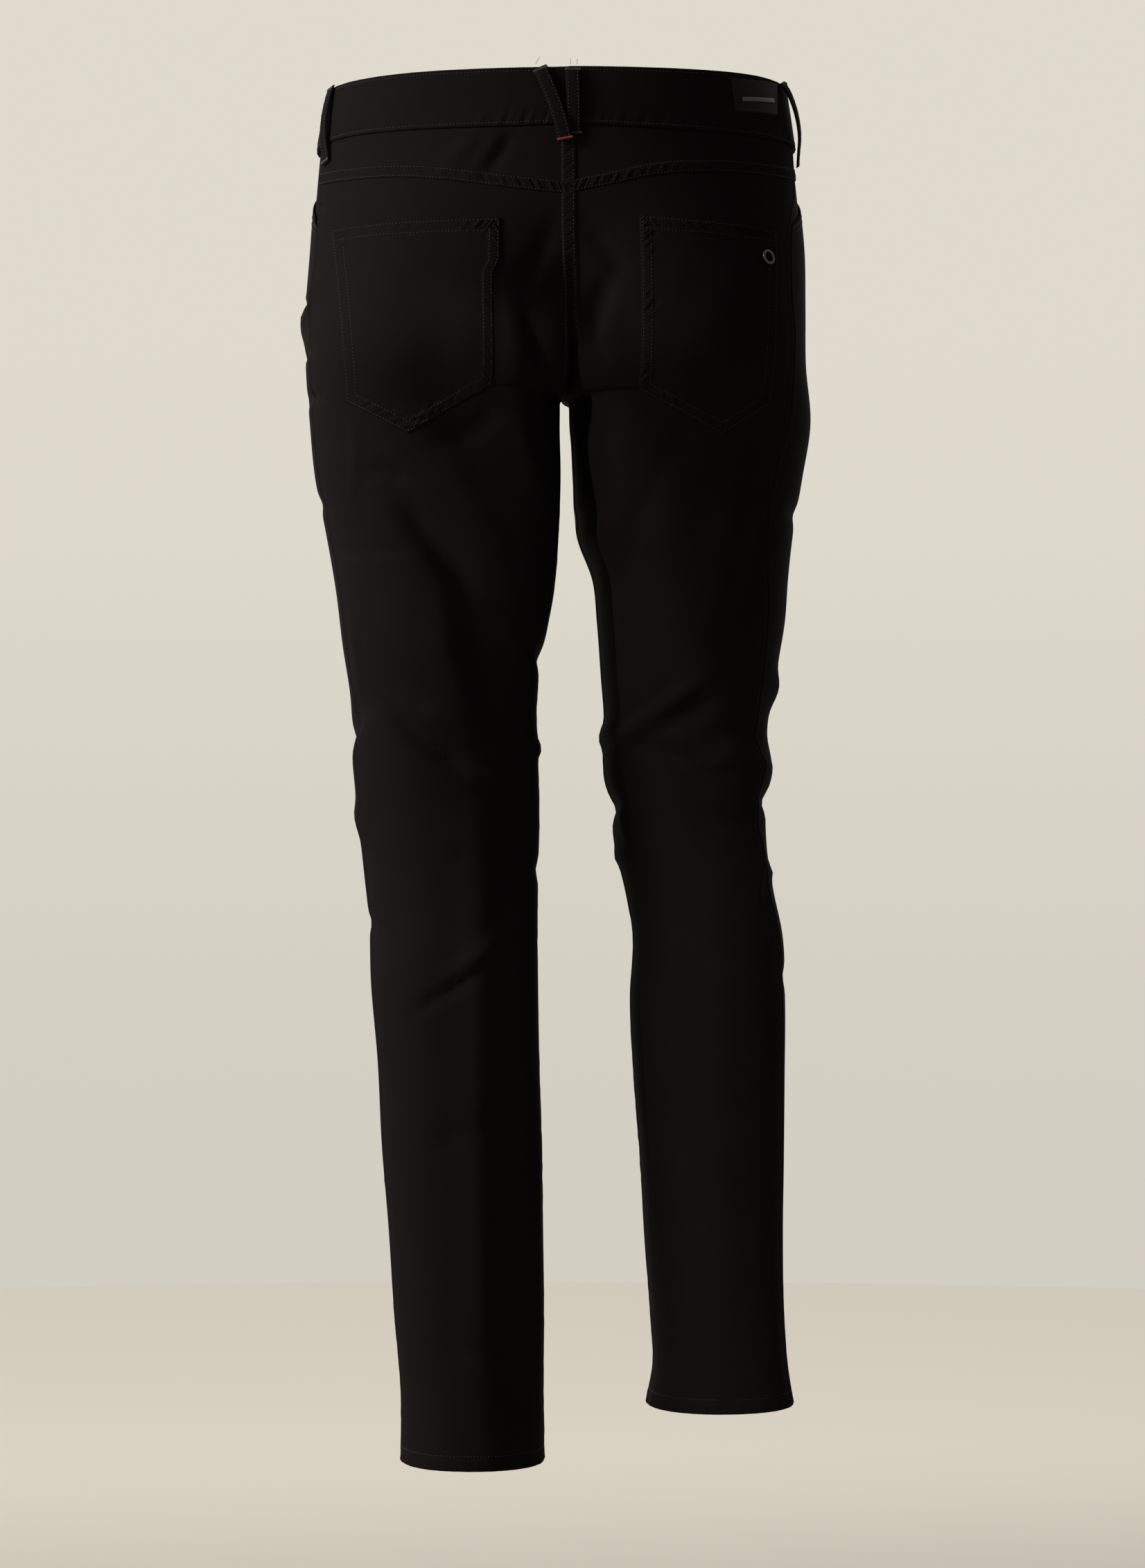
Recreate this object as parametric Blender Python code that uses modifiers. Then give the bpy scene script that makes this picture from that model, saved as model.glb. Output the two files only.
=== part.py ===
"""Slim trousers as they are worn: an empty garment of cut and sewn panels, one leg a step forward.

Metres, +Z up. The garment faces -Y, the wearer's left is +X, and the origin is the middle of the waist's
opening.
Every panel is a wall of cloth on one shared body surface, which is worked out from the tables below.
"""

import math

import bmesh
import bpy
import numpy as np
from mathutils import Matrix, Vector

# Driving sizes
MM = 0.001
LEFT, RIGHT = 1, -1
SEAM_GAP = 0.3 * MM
CLOTH = 1.5 * MM
BAND_WALL = 2.8 * MM
BAND_PROUD = 1.0 * MM
POCKET_WALL = 1.2 * MM
LOOP_WALL = 1.6 * MM
LOOP_WIDTH = 10.5 * MM
CROTCH_LEVEL = -223 * MM
CROTCH_DEPTH = 6 * MM
ARCH_HALF_WIDTH = 4.3 * MM
ARCH_HEIGHT = 5 * MM
ARCH_FADE = 30 * MM
ARCH_REACH = 0.55
ROUNDNESS = 2.3
LEG_FROM, LEG_TO = -40 * MM, -215 * MM
CREASE_FROM, CREASE_TO = -90 * MM, -218 * MM
SEAT_CURVE_TOP = -125 * MM
INSEAM_SETTLE = 90 * MM
FOLD_SAMPLES = 15
FOLD_FACING = (-0.1, 0.45)
HEM = {LEFT: (-990 * MM, -986 * MM), RIGHT: (-967 * MM, -962 * MM)}
MOUTH_END = -106 * MM
MOUTH_ANGLE = math.radians(-62)

# Small pieces
RING_RADIUS, RING_WIRE = 4.4 * MM, 1.3 * MM
RING_PLACE = (-138.7 * MM, -132 * MM)
BUTTON_RADIUS, BUTTON_DEPTH, BUTTON_RIM = 8.5 * MM, 2.6 * MM, 0.6 * MM
BUTTON_PLACE = (13 * MM, -37 * MM)
ZIP_TOP, ZIP_END, ZIP_WALL = -62 * MM, -150 * MM, 1.0 * MM
ZIP_COLUMNS = (4 * MM, 12 * MM)
SLIDER_WIDTH, SLIDER_HEIGHT, SLIDER_DEPTH, SLIDER_EDGE = 8 * MM, 11 * MM, 2.4 * MM, 0.7 * MM
SLIDER_PLACE = (0.2 * MM, -71 * MM)
PATCH_WALL, BAR_WALL = 0.8 * MM, 1.0 * MM

# Grids and small steps
SAMPLE_TURN, NORMAL_TURN, NORMAL_RISE = 0.01, 0.012, 0.6 * MM
ABOVE_ROWS = 13
ABOVE_CROWDING = 1.8
BELOW_STEPS = (1, 2.6, 5, 10, 18, 30)
BELOW_ROWS = 25
PANEL_COLUMNS = 14
COLUMN_SHARE = np.linspace(0, 1, PANEL_COLUMNS) ** 1.3
YOKE_ROWS = 4
GRID_PASSES = 4
BAND_ROWS = 4
BAND_COLUMNS = 25
BAND_MIDDLE = -35 * MM
BAND_TURNS_IN = math.radians(-132)
OVERLAP_RIGHT = (6, 3)
UNDERLAP_RIGHT = ((26, 0), (20, 0.25), (14, 0.8), (9, 1), (3, 1))
UNDERLAP_LEFT = (4, 16, 28)
FACING_ROWS, FACING_COLUMNS = 8, 8
ZIP_ROWS = 6
SLIVER = 0.02 * MM

# Looks: colour, roughness, metallic
TWILL = ((0.018, 0.018, 0.019), 0.85, 0.0)
PATCH_LEATHER = ((0.015, 0.014, 0.014), 0.55, 0.0)
STEEL = ((0.42, 0.41, 0.40), 0.35, 1.0)
DARK_METAL = ((0.08, 0.08, 0.085), 0.4, 1.0)

# Torso sections in millimetres: level, half width on the left and on the right, centre back, centre front
TORSO = np.array((
    (20, 160, 161, 110, -98),
    (0, 163, 164, 112, -100),
    (-40, 171, 170, 117, -104),
    (-80, 175, 174, 124, -107),
    (-120, 178, 177, 129, -109),
    (-160, 181, 177, 131, -108),
    (-200, 181, 178, 128, -104),
    (-240, 179, 184, 120, -100),
), float) * MM

# Left leg, straight: level, outer side, inner side, back, front
LEFT_LEG = np.array((
    (20, 160, 0, 104, -90),
    (-40, 171, 0, 118, -98),
    (-80, 175, 0, 130, -103),
    (-120, 178, 0, 138, -106),
    (-160, 181, -1, 142, -105),
    (-200, 181, -2, 136, -101),
    (-240, 178, -1, 115, -98),
    (-280, 174, -2, 103, -96),
    (-320, 166, -1, 94, -94),
    (-360, 159, 2, 86, -91),
    (-400, 154, 9, 77, -87),
    (-440, 148, 14, 66, -83),
    (-480, 147, 13, 56, -79),
    (-520, 143, 12, 51, -75),
    (-560, 139, 13, 53, -69),
    (-600, 135, 14, 58, -64),
    (-640, 134, 14, 62, -60),
    (-700, 129, 13, 60, -57),
    (-760, 126, 11, 55, -56),
    (-820, 121, 10, 49, -56),
    (-880, 117, 9, 43, -57),
    (-940, 112, 9, 39, -60),
    (-990, 112, 8, 37, -63),
), float) * MM

# Right leg, stepping forward from the hip with the shin upright: level, outer side, inner side, back, front
RIGHT_LEG = np.array((
    (20, 161, 0, 104, -90),
    (-40, 170, 0, 118, -98),
    (-80, 174, 0, 130, -104),
    (-120, 177, 0, 137, -109),
    (-160, 177, 3, 138, -112),
    (-200, 178, 6, 127, -115),
    (-240, 184, 10, 99, -121),
    (-280, 180, 14, 77, -131),
    (-320, 175, 19, 60, -141),
    (-350, 173, 31, 46, -147),
    (-380, 172, 35, 33, -152),
    (-420, 167, 39, 13, -158),
    (-460, 163, 43, -12, -164),
    (-490, 168, 43, -30, -168),
    (-520, 165, 49, -42, -169),
    (-545, 165, 52, -46, -168),
    (-580, 170, 60, -45, -165),
    (-610, 176, 65, -42, -162),
    (-660, 178, 63, -40, -160),
    (-720, 178, 66, -44, -160),
    (-780, 178, 71, -51, -161),
    (-840, 178, 75, -58, -165),
    (-900, 180, 80, -66, -170),
    (-935, 183, 82, -70, -173),
    (-965, 188, 77, -73, -176),
), float) * MM

# Centre seam, waist to crotch: level, sideways place, depth at the back, depth at the front
CENTRE_SEAM = np.array((
    (20, 0, 110, -98),
    (0, 0, 112, -100),
    (-40, 0, 117, -104),
    (-80, 0, 123, -107),
    (-120, 0, 126, -108),
    (-160, -2, 124, -106),
    (-200, -4, 117, -101),
    (-223, -5.5, 111, -97),
), float) * MM

# Side seams, as a turn in degrees from the outermost line towards the back: level, left leg, right leg
SIDE_SEAM = np.array((
    (20, 14, 14),
    (-40, 14, 17),
    (-75, 15, 24),
    (-110, 18, 38),
    (-150, 17, 41),
    (-190, 14, 38),
    (-230, 12, 45),
    (-270, 12, 52),
    (-380, 14, 48),
    (-440, 14, 43),
    (-520, 12, 35),
    (-700, 9, 25),
    (-1000, 6, 18),
), float) * (MM, 1, 1)

# Waistband lines round the waist: turn in degrees from the outer side, seam on the left, seam on the right,
# top on the left, top on the right, in millimetres
BAND_LINES = np.array((
    (-180, -57, -57, -17, -17),
    (-90, -53, -52, -13, -11),
    (0, -47, -45, -6, -2),
    (45, -44.5, -43.5, -4, 1),
    (110, -43, -42, -1.5, 0.5),
    (180, -39.5, -39.5, 0, 0),
), float) * (math.pi / 180, MM, MM, MM, MM)

# Seam of the back yoke: turn in degrees from the outer side, level on the left, level on the right
YOKE_SEAM = np.array((
    (0, -73, -66),
    (42, -75, -69.5),
    (80, -77, -70.5),
    (106, -83, -75),
    (125, -86, -81),
    (180, -90, -90),
), float) * (math.pi / 180, MM, MM)

# Largest folds, placed as seen from the named side, in millimetres: leg, seen from, start across and level,
# middle across and level, end across and level, half width, height (a trough is below zero)
FOLDS = (
    (LEFT, "BACK", 121, -262, 97, -329, 20, -409, 15, -3.6),
    (LEFT, "BACK", 129, -443, 104, -466, 64, -495, 11, -3.4),
    (LEFT, "BACK", 70, -502, 45, -498, 24, -492, 9, 2.4),
    (LEFT, "BACK", 84, -533, 75, -528, 62, -520, 9, 1.8),
    (LEFT, "BACK", 101, -656, 64, -625, 19, -588, 10, -2.2),
    (LEFT, "BACK", 30, -235, 80, -252, 130, -240, 14, -2.4),
    (LEFT, "OUT", -30, -178, 20, -172, 70, -150, 12, 2.4),
    (LEFT, "OUT", -60, -478, -10, -470, 36, -446, 11, -2.6),
    (LEFT, "OUT", -40, -520, 0, -525, 30, -540, 12, 2.0),
    (LEFT, "IN", -50, -420, -5, -416, 45, -400, 12, -2.6),
    (LEFT, "FRONT", 12, -200, 60, -186, 128, -168, 11, -3.0),
    (LEFT, "FRONT", 16, -226, 70, -220, 140, -214, 11, 2.4),
    (LEFT, "FRONT", 22, -254, 70, -262, 120, -290, 13, -2.2),
    (LEFT, "FRONT", 130, -462, 90, -478, 34, -470, 12, 2.2),
    (LEFT, "FRONT", 124, -560, 80, -577, 28, -562, 12, -2.6),
    (LEFT, "FRONT", 100, -905, 62, -925, 18, -910, 10, -1.8),
    (RIGHT, "BACK", -50, -241, -38, -306, -34, -353, 13, 3.2),
    (RIGHT, "BACK", -84, -262, -64, -300, -44, -323, 12, -3.4),
    (RIGHT, "BACK", -118, -426, -84, -446, -44, -478, 12, 4.2),
    (RIGHT, "BACK", -46, -474, -66, -462, -104, -486, 8, -3.6),
    (RIGHT, "BACK", -106, -488, -136, -474, -168, -488, 9, 3.4),
    (RIGHT, "BACK", -64, -520, -100, -508, -158, -526, 10, -3.2),
    (RIGHT, "BACK", -72, -600, -100, -586, -150, -594, 12, -2.0),
    (RIGHT, "OUT", -20, -420, -80, -440, -130, -436, 12, 2.6),
    (RIGHT, "OUT", -50, -505, -100, -520, -150, -512, 11, -3.0),
    (RIGHT, "IN", -30, -452, -80, -470, -130, -466, 11, 2.8),
    (RIGHT, "IN", -50, -504, -100, -524, -150, -520, 11, -3.0),
    (RIGHT, "FRONT", -10, -198, -70, -182, -150, -148, 11, -4.0),
    (RIGHT, "FRONT", -16, -224, -80, -212, -160, -186, 12, 3.4),
    (RIGHT, "FRONT", -24, -256, -80, -250, -140, -232, 12, -2.8),
    (RIGHT, "FRONT", -76, -560, -120, -578, -160, -566, 12, -2.6),
    (RIGHT, "FRONT", -84, -880, -126, -900, -168, -884, 11, -2.0),
)

# Outlines as seen from behind or in front, in millimetres: across, level
BACK_POCKETS = {
    LEFT: ((164, -111), (49, -108), (52, -222), (112, -256), (154, -233)),
    RIGHT: ((-48, -105), (-148, -111), (-144, -232), (-110, -254), (-50, -224)),
}
LABEL_PATCH = ((-115, -3), (-152, -2), (-151, -25), (-118, -27), (-115.5, -15))
LABEL_BAR = ((-123, -16.4), (-148, -13.8), (-148, -17), (-123, -19.6))
FLY_PLACKET = ((-5, -58.4), (36, -57.4), (36, -142), (32, -154), (24, -163), (12, -169), (-5, -171))

# Belt loops: name, leg, top turn and level, end turn and level, rises down the loop
BELT_LOOPS = (
    ("belt_loop_back_under", RIGHT, (165, -1.5), (164, -49), (1.5, 2.6, 3.2, 3.2, 2.6, 1.5, 0.5)),
    ("belt_loop_back_over", LEFT, (136, -1.5), (163, -54), (1.5, 2.8, 3.4, 3.8, 3.8, 3.4, 2.6)),
    ("belt_loop_left", LEFT, (19, -5), (25, -61), (1.5, 3.0, 3.8, 4.0, 3.4, 2.0, 0.6)),
    ("belt_loop_right", RIGHT, (27, 0.5), (15, -58), (1.5, 4.6, 6.0, 6.2, 5.2, 2.8, 0.6)),
    ("belt_loop_front_left", LEFT, (-96, -14), (-96, -70), (1.5, 2.8, 3.6, 3.6, 3.0, 1.8, 0.6)),
    ("belt_loop_front_right", RIGHT, (-96, -12), (-96, -69), (1.5, 2.8, 3.6, 3.6, 3.0, 1.8, 0.6)),
)

for old in list(bpy.data.objects):
    bpy.data.objects.remove(old)
collection = bpy.data.collections.new("slim_trousers")
bpy.context.scene.collection.children.link(collection)


def smooth(table, column, level):
    """Value of one column at a level: a cubic through the rows, with the slopes of their neighbours."""
    rows = table[np.argsort(table[:, 0])]
    levels, values = rows[:, 0], rows[:, column]
    slopes = np.gradient(values, levels)
    level = np.clip(np.asarray(level, float), levels[0], levels[-1])
    row = np.clip(np.searchsorted(levels, level) - 1, 0, len(levels) - 2)
    span = levels[row + 1] - levels[row]
    t = (level - levels[row]) / span
    start = (2 * t**3 - 3 * t**2 + 1) * values[row] + (t**3 - 2 * t**2 + t) * span * slopes[row]
    return start + (3 * t**2 - 2 * t**3) * values[row + 1] + (t**3 - t**2) * span * slopes[row + 1]


def ease(value, start, end):
    """0 at the start, 1 at the end, with no corner at either."""
    t = np.clip((value - start) / (end - start), 0, 1)
    return t * t * (3 - 2 * t)


def section(side, angle, level):
    """Points of one leg's ring without folds. The angle is 0 at the outer side and a half turn at the inner
    side, back positive. Above the crotch the ring is half of the torso and ends on the centre seam."""
    leg = LEFT_LEG if side == LEFT else RIGHT_LEG
    outer, inner = smooth(leg, 1, level), smooth(leg, 2, level)
    above = level > CROTCH_LEVEL
    seam = side * smooth(CENTRE_SEAM, 1, level)
    arch = np.clip((CROTCH_LEVEL - level) / ARCH_HEIGHT, 0, 1)
    rounded = seam + ARCH_HALF_WIDTH * np.sqrt(1 - (1 - arch) ** 2)
    settled = ease(level, CROTCH_LEVEL - ARCH_HEIGHT, CROTCH_LEVEL - ARCH_FADE)
    edge = np.where(above, seam, rounded + settled * (inner - rounded))
    middle, half_width = (outer + inner) / 2, (outer - inner) / 2
    cosine, sine = np.cos(angle), np.abs(np.sin(angle))
    across = np.sign(cosine) * np.abs(cosine) ** (2 / ROUNDNESS)
    swell = sine ** (2 / ROUNDNESS)
    x = middle + half_width * across + (edge - inner) * ease(-across, ARCH_REACH, 1)
    behind = np.asarray(angle) >= 0
    far = np.where(behind, smooth(leg, 3, level), smooth(leg, 4, level))
    near = (smooth(leg, 3, level) + smooth(leg, 4, level)) / 2
    ring = near + (far - near) * swell
    centre = np.where(behind, smooth(TORSO, 3, level), smooth(TORSO, 4, level))
    torso_near = (smooth(TORSO, 3, level) + smooth(TORSO, 4, level)) / 2
    reach = np.clip(x / outer, 0, 1)
    oval = torso_near + (centre - torso_near) * (1 - reach**ROUNDNESS) ** (1 / ROUNDNESS)
    legness = ease(level, LEG_FROM, LEG_TO)
    inside = cosine < 0
    base = (1 - legness) * oval + legness * np.where(inside, far, ring)
    drop = np.clip((SEAT_CURVE_TOP - level) / (SEAT_CURVE_TOP - CROTCH_LEVEL), 0, 1)
    seam_depth = np.where(behind, smooth(CENTRE_SEAM, 2, level), smooth(CENTRE_SEAM, 3, level))
    curve = CROTCH_DEPTH + (seam_depth - CROTCH_DEPTH) * np.sqrt(1 - drop**2)
    inseam = CROTCH_DEPTH + (near - CROTCH_DEPTH) * ease(level, CROTCH_LEVEL, CROTCH_LEVEL - INSEAM_SETTLE)
    end = np.where(above, curve, inseam)
    crease = 2 + (1 / ROUNDNESS - 2) * ease(level, CREASE_FROM, CREASE_TO)
    gone = 1 - np.clip(1 - np.abs(across) ** ROUNDNESS, 0, 1) ** crease
    pull = end - (1 - legness) * centre - legness * far
    return side * x, base + np.where(inside, pull * gone, 0)


def fold_height(side, points, facing):
    """Height of the soft ridges and troughs at points of one leg: each fades out from its own bent line."""
    height = np.zeros(points.shape[:-1])
    steps = np.linspace(0, 1, FOLD_SAMPLES)[:, None]
    for leg, seen, x0, z0, x1, z1, x2, z2, width, rise in FOLDS:
        if leg != side:
            continue
        start, middle, end = np.array(((x0, z0), (x1, z1), (x2, z2)), float) * MM
        line = (1 - steps) ** 2 * start + 2 * steps * (1 - steps) * middle + steps**2 * end
        across = points[..., 1] if seen in ("OUT", "IN") else points[..., 0]
        offset = np.stack((across, points[..., 2]), -1)[..., None, :] - line
        distance = np.sqrt((offset**2).sum(-1)).min(-1)
        share = ease(facing[seen], *FOLD_FACING)
        height += rise * MM * np.exp(-((distance / (width * MM)) ** 2)) * share
    return height


def cloth_point(side, angle, level):
    """Points of the outer face with its folds."""
    angle = np.clip(angle, -math.pi, math.pi)
    x, y = section(side, angle, level)
    before = section(side, np.clip(angle - SAMPLE_TURN, -math.pi, math.pi), level)
    after = section(side, np.clip(angle + SAMPLE_TURN, -math.pi, math.pi), level)
    along = np.stack((after[0] - before[0], after[1] - before[1]), -1)
    along /= np.linalg.norm(along, axis=-1, keepdims=True)
    out_x, out_y = side * along[..., 1], -side * along[..., 0]
    points = np.stack((x, y, level + 0 * x), -1)
    facing = {"BACK": out_y, "FRONT": -out_y, "OUT": side * out_x, "IN": -side * out_x}
    height = fold_height(side, points, facing)
    points[..., 0] += out_x * height
    points[..., 1] += out_y * height
    return points


def cloth(side, angle, level, out):
    """Points at a distance out of the cloth's outer face, along its own normal, so that two panels that
    meet at a seam share it."""
    angle, level = np.broadcast_arrays(np.asarray(angle, float), np.asarray(level, float))
    along = cloth_point(side, angle + NORMAL_TURN, level) - cloth_point(side, angle - NORMAL_TURN, level)
    up = cloth_point(side, angle, level + NORMAL_RISE) - cloth_point(side, angle, level - NORMAL_RISE)
    normal = np.cross(along, up) * side
    normal /= np.linalg.norm(normal, axis=-1, keepdims=True)
    return cloth_point(side, angle, level) + normal * np.asarray(out, float)[..., None]


def ring_angle(side, x, level, face):
    """Ring angle at which a leg's section has this sideways place, on its back or its front."""
    leg = LEFT_LEG if side == LEFT else RIGHT_LEG
    outer, inner = smooth(leg, 1, level), smooth(leg, 2, level)
    share = np.clip((side * x - (outer + inner) / 2) / ((outer - inner) / 2), -1, 1)
    return face * np.arccos(np.sign(share) * np.abs(share) ** (ROUNDNESS / 2))


def side_seam(side, level):
    return np.radians(smooth(SIDE_SEAM, 1 if side == LEFT else 2, level))


def band_seam(side, angle):
    return smooth(BAND_LINES, 1 if side == LEFT else 2, angle)


def band_top(side, angle):
    return smooth(BAND_LINES, 3 if side == LEFT else 4, angle)


def yoke_line(side, angle):
    """Level of the yoke's seam, which falls from the side seam to a point at the centre back."""
    return smooth(YOKE_SEAM, 1 if side == LEFT else 2, angle)


def hem_line(side, angle):
    """Level of the hem, a little lower behind than in front."""
    back, front = HEM[side]
    return (back + front) / 2 + (back - front) / 2 * np.sin(angle)


def corner_angle(side, line):
    """Ring angle where a line round the waist meets the side seam."""
    angle = 0.0
    for _ in range(GRID_PASSES):
        angle = float(side_seam(side, line(side, angle)))
    return angle


def shift_apart(points, side, face):
    """Move a panel half a seam gap from its neighbours, sideways and front to back."""
    return points + np.array((side, face, 0)) * SEAM_GAP / 2


def finish(piece, name, look):
    """Name the object, give it a material of its own and put it among the parts."""
    colour, roughness, metallic = look
    material = bpy.data.materials.new(name)
    material.use_nodes = True
    shader = material.node_tree.nodes["Principled BSDF"]
    shader.inputs["Base Color"].default_value = (*colour, 1)
    shader.inputs["Roughness"].default_value = roughness
    shader.inputs["Metallic"].default_value = metallic
    piece.name = name
    piece.data.materials.append(material)
    piece.data.shade_smooth()
    for linked in list(piece.users_collection):
        linked.objects.unlink(piece)
    collection.objects.link(piece)
    return piece


def made_mesh(name, points, faces):
    mesh = bpy.data.meshes.new(name)
    mesh.from_pydata(np.asarray(points).tolist(), [], [[int(corner) for corner in face] for face in faces])
    return mesh


def made_object(name, mesh, look):
    return finish(bpy.data.objects.new(name, mesh), name, look)


def grid_triangles(number):
    """Triangles of a grid of point numbers, two to a cell."""
    a, b, c, d = number[:-1, :-1], number[:-1, 1:], number[1:, 1:], number[1:, :-1]
    triangles = np.concatenate((np.stack((a, b, c), -1), np.stack((a, c, d), -1)), 0).reshape(-1, 3)
    return triangles.tolist()


def wall(name, outer, inner, look):
    """A closed wall lofted between two grids of points, an outer face and an inner face."""
    rows, columns = outer.shape[:2]
    points = np.concatenate((outer.reshape(-1, 3), inner.reshape(-1, 3)))
    number = np.arange(rows * columns).reshape(rows, columns)
    faces = grid_triangles(number)
    faces += [[corner + rows * columns for corner in reversed(face)] for face in faces]
    edge = [*number[0], *number[1:, -1], *number[-1, -2::-1], *number[-2:0:-1, 0]]
    for this, following in zip(edge, edge[1:] + edge[:1]):
        faces.append((following, this, this + rows * columns, following + rows * columns))
    mesh = made_mesh(name, points, faces)
    work = bmesh.new()
    work.from_mesh(mesh)
    bmesh.ops.recalc_face_normals(work, faces=work.faces[:])
    work.to_mesh(mesh)
    work.free()
    return made_object(name, mesh, look)


def clipped_skin(name, grid, outline, seen, out, thick, look):
    """A piece that lies on a panel: the panel's own facets, cut along an outline that is drawn as seen from
    behind (1) or in front (-1), moved out and thickened. The outline is convex, across and level in
    millimetres."""
    rows, columns = grid.shape[:2]
    number = np.arange(rows * columns).reshape(rows, columns)
    mesh = made_mesh(name, grid.reshape(-1, 3), grid_triangles(number))
    work = bmesh.new()
    work.from_mesh(mesh)
    bmesh.ops.recalc_face_normals(work, faces=work.faces[:])
    turned = [face for face in work.faces if face.normal.y * seen < 0]
    bmesh.ops.delete(work, geom=turned, context="FACES")
    corners = [Vector((x * MM, 0, z * MM)) for x, z in outline]
    middle = sum(corners, Vector()) / len(corners)
    for this, following in zip(corners, corners[1:] + corners[:1]):
        away = (following - this).cross(Vector((0, 1, 0)))
        if away.dot(this - middle) < 0:
            away.negate()
        everything = work.verts[:] + work.edges[:] + work.faces[:]
        bmesh.ops.bisect_plane(work, geom=everything, plane_co=this, plane_no=away, clear_outer=True)
    bmesh.ops.dissolve_degenerate(work, dist=SLIVER, edges=work.edges[:])
    bmesh.ops.triangulate(work, faces=work.faces[:])
    work.normal_update()
    places = [vertex.co + vertex.normal * out for vertex in work.verts]
    for vertex, place in zip(work.verts, places):
        vertex.co = place
    work.to_mesh(mesh)
    work.free()
    piece = made_object(name, mesh, look)
    solidify = piece.modifiers.new("thickness", "SOLIDIFY")
    solidify.thickness = thick
    solidify.offset = 1
    return piece


def place_on_cloth(piece, x, level, face, out):
    """Move a primitive to a distance out of the cloth, its own Z along the cloth's normal."""
    side = LEFT if x > 0 else RIGHT
    angle = ring_angle(side, x, level, face)
    foot = Vector(cloth(side, angle, level, 0))
    normal = (Vector(cloth(side, angle, level, MM)) - foot).normalized()
    piece.location = foot + normal * out
    piece.rotation_euler = normal.to_track_quat("Z", "Y").to_euler()


def panel_levels(top, bottom):
    """Levels down one column: closer together near the crotch, where the seam curves under."""
    fall = 1 - (1 - np.linspace(0, 1, ABOVE_ROWS)) ** ABOVE_CROWDING
    above = top[None, :] + (CROTCH_LEVEL - top[None, :]) * fall[:, None]
    near = CROTCH_LEVEL - np.array(BELOW_STEPS) * MM
    spread = np.linspace(0, 1, BELOW_ROWS)[1:, None]
    below = near[-1] + (bottom[None, :] - near[-1]) * spread
    return np.concatenate((above, np.repeat(near[:, None], len(top), 1), below))


def panel_grid(side, face):
    """Ring angles and levels of a front or back panel. The front has more rows beside the yoke, and below
    them its levels at the side seam are the back's own. Angles and levels depend on each other, so they
    settle in passes."""
    corner = corner_angle(side, yoke_line)
    beside_yoke = yoke_line(side, corner) - SEAM_GAP / 2
    angles = np.repeat((corner + (face * math.pi - corner) * COLUMN_SHARE)[None, :], 2, 0)
    for _ in range(GRID_PASSES):
        if face > 0:
            levels = panel_levels(yoke_line(side, angles[0]) - SEAM_GAP / 2, hem_line(side, angles[-1]))
        else:
            levels = panel_levels(beside_yoke + 0 * angles[0], hem_line(side, angles[-1]))
            head = band_seam(side, angles[0]) - SEAM_GAP / 2
            beside = head + (beside_yoke - head) * np.linspace(0, 1, YOKE_ROWS)[:-1, None]
            levels = np.concatenate((beside, levels))
        first = side_seam(side, levels[:, :1])
        angles = first + (face * math.pi - first) * COLUMN_SHARE
    return angles, levels


def panel_face(side, face, out=0.0):
    angles, levels = panel_grid(side, face)
    return shift_apart(cloth(side, angles, levels, out), side, face)


def cut_pocket_mouth(piece, side):
    """Cut away the front's upper outer corner along a straight slanted pocket mouth and close the edge."""
    low_angle = side_seam(side, MOUTH_END)
    high_level = band_seam(side, MOUTH_ANGLE)
    low = Vector(shift_apart(cloth(side, low_angle, MOUTH_END, 0), side, -1))
    high = Vector(cloth(side, MOUTH_ANGLE, high_level, 0))
    middle_angle, middle_level = (low_angle + MOUTH_ANGLE) / 2, (MOUTH_END + high_level) / 2
    middle = Vector(cloth(side, middle_angle, middle_level, 0))
    outward = Vector(cloth(side, middle_angle, middle_level, CLOTH)) - middle
    away = (high - low).cross(outward)
    if away.z < 0:
        away.negate()
    work = bmesh.new()
    work.from_mesh(piece.data)
    everything = work.verts[:] + work.edges[:] + work.faces[:]
    cut = bmesh.ops.bisect_plane(work, geom=everything, plane_co=low, plane_no=away, clear_outer=True)
    rim = [item for item in cut["geom_cut"] if isinstance(item, bmesh.types.BMEdge)]
    bmesh.ops.contextual_create(work, geom=rim)
    bmesh.ops.recalc_face_normals(work, faces=work.faces[:])
    work.to_mesh(piece.data)
    work.free()


def panel(side, face, name):
    piece = wall(name, panel_face(side, face), panel_face(side, face, -CLOTH), TWILL)
    if face < 0:
        cut_pocket_mouth(piece, side)
    return piece


def yoke_grid(side):
    corner = corner_angle(side, yoke_line)
    angles = np.repeat((corner + (math.pi - corner) * COLUMN_SHARE)[None, :], 2, 0)
    for _ in range(GRID_PASSES):
        top = band_seam(side, angles[0]) - SEAM_GAP / 2
        bottom = yoke_line(side, angles[-1]) + SEAM_GAP / 2
        levels = top + (bottom - top) * np.linspace(0, 1, YOKE_ROWS)[:, None]
        first = side_seam(side, levels[:, :1])
        angles = first + (math.pi - first) * COLUMN_SHARE
    return angles, levels


def yoke(side, name):
    angles, levels = yoke_grid(side)
    faces = [shift_apart(cloth(side, angles, levels, out), side, 1) for out in (0, -CLOTH)]
    return wall(name, *faces, TWILL)


def pocket_facing(side, name):
    """The cloth seen inside the slanted pocket mouth: the front panel's own corner, one wall further in."""
    out = -CLOTH - SEAM_GAP
    corner = np.s_[:FACING_ROWS, :FACING_COLUMNS]
    faces = [panel_face(side, -1, out - thick)[corner] for thick in (0, POCKET_WALL)]
    return wall(name, *faces, TWILL)


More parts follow.
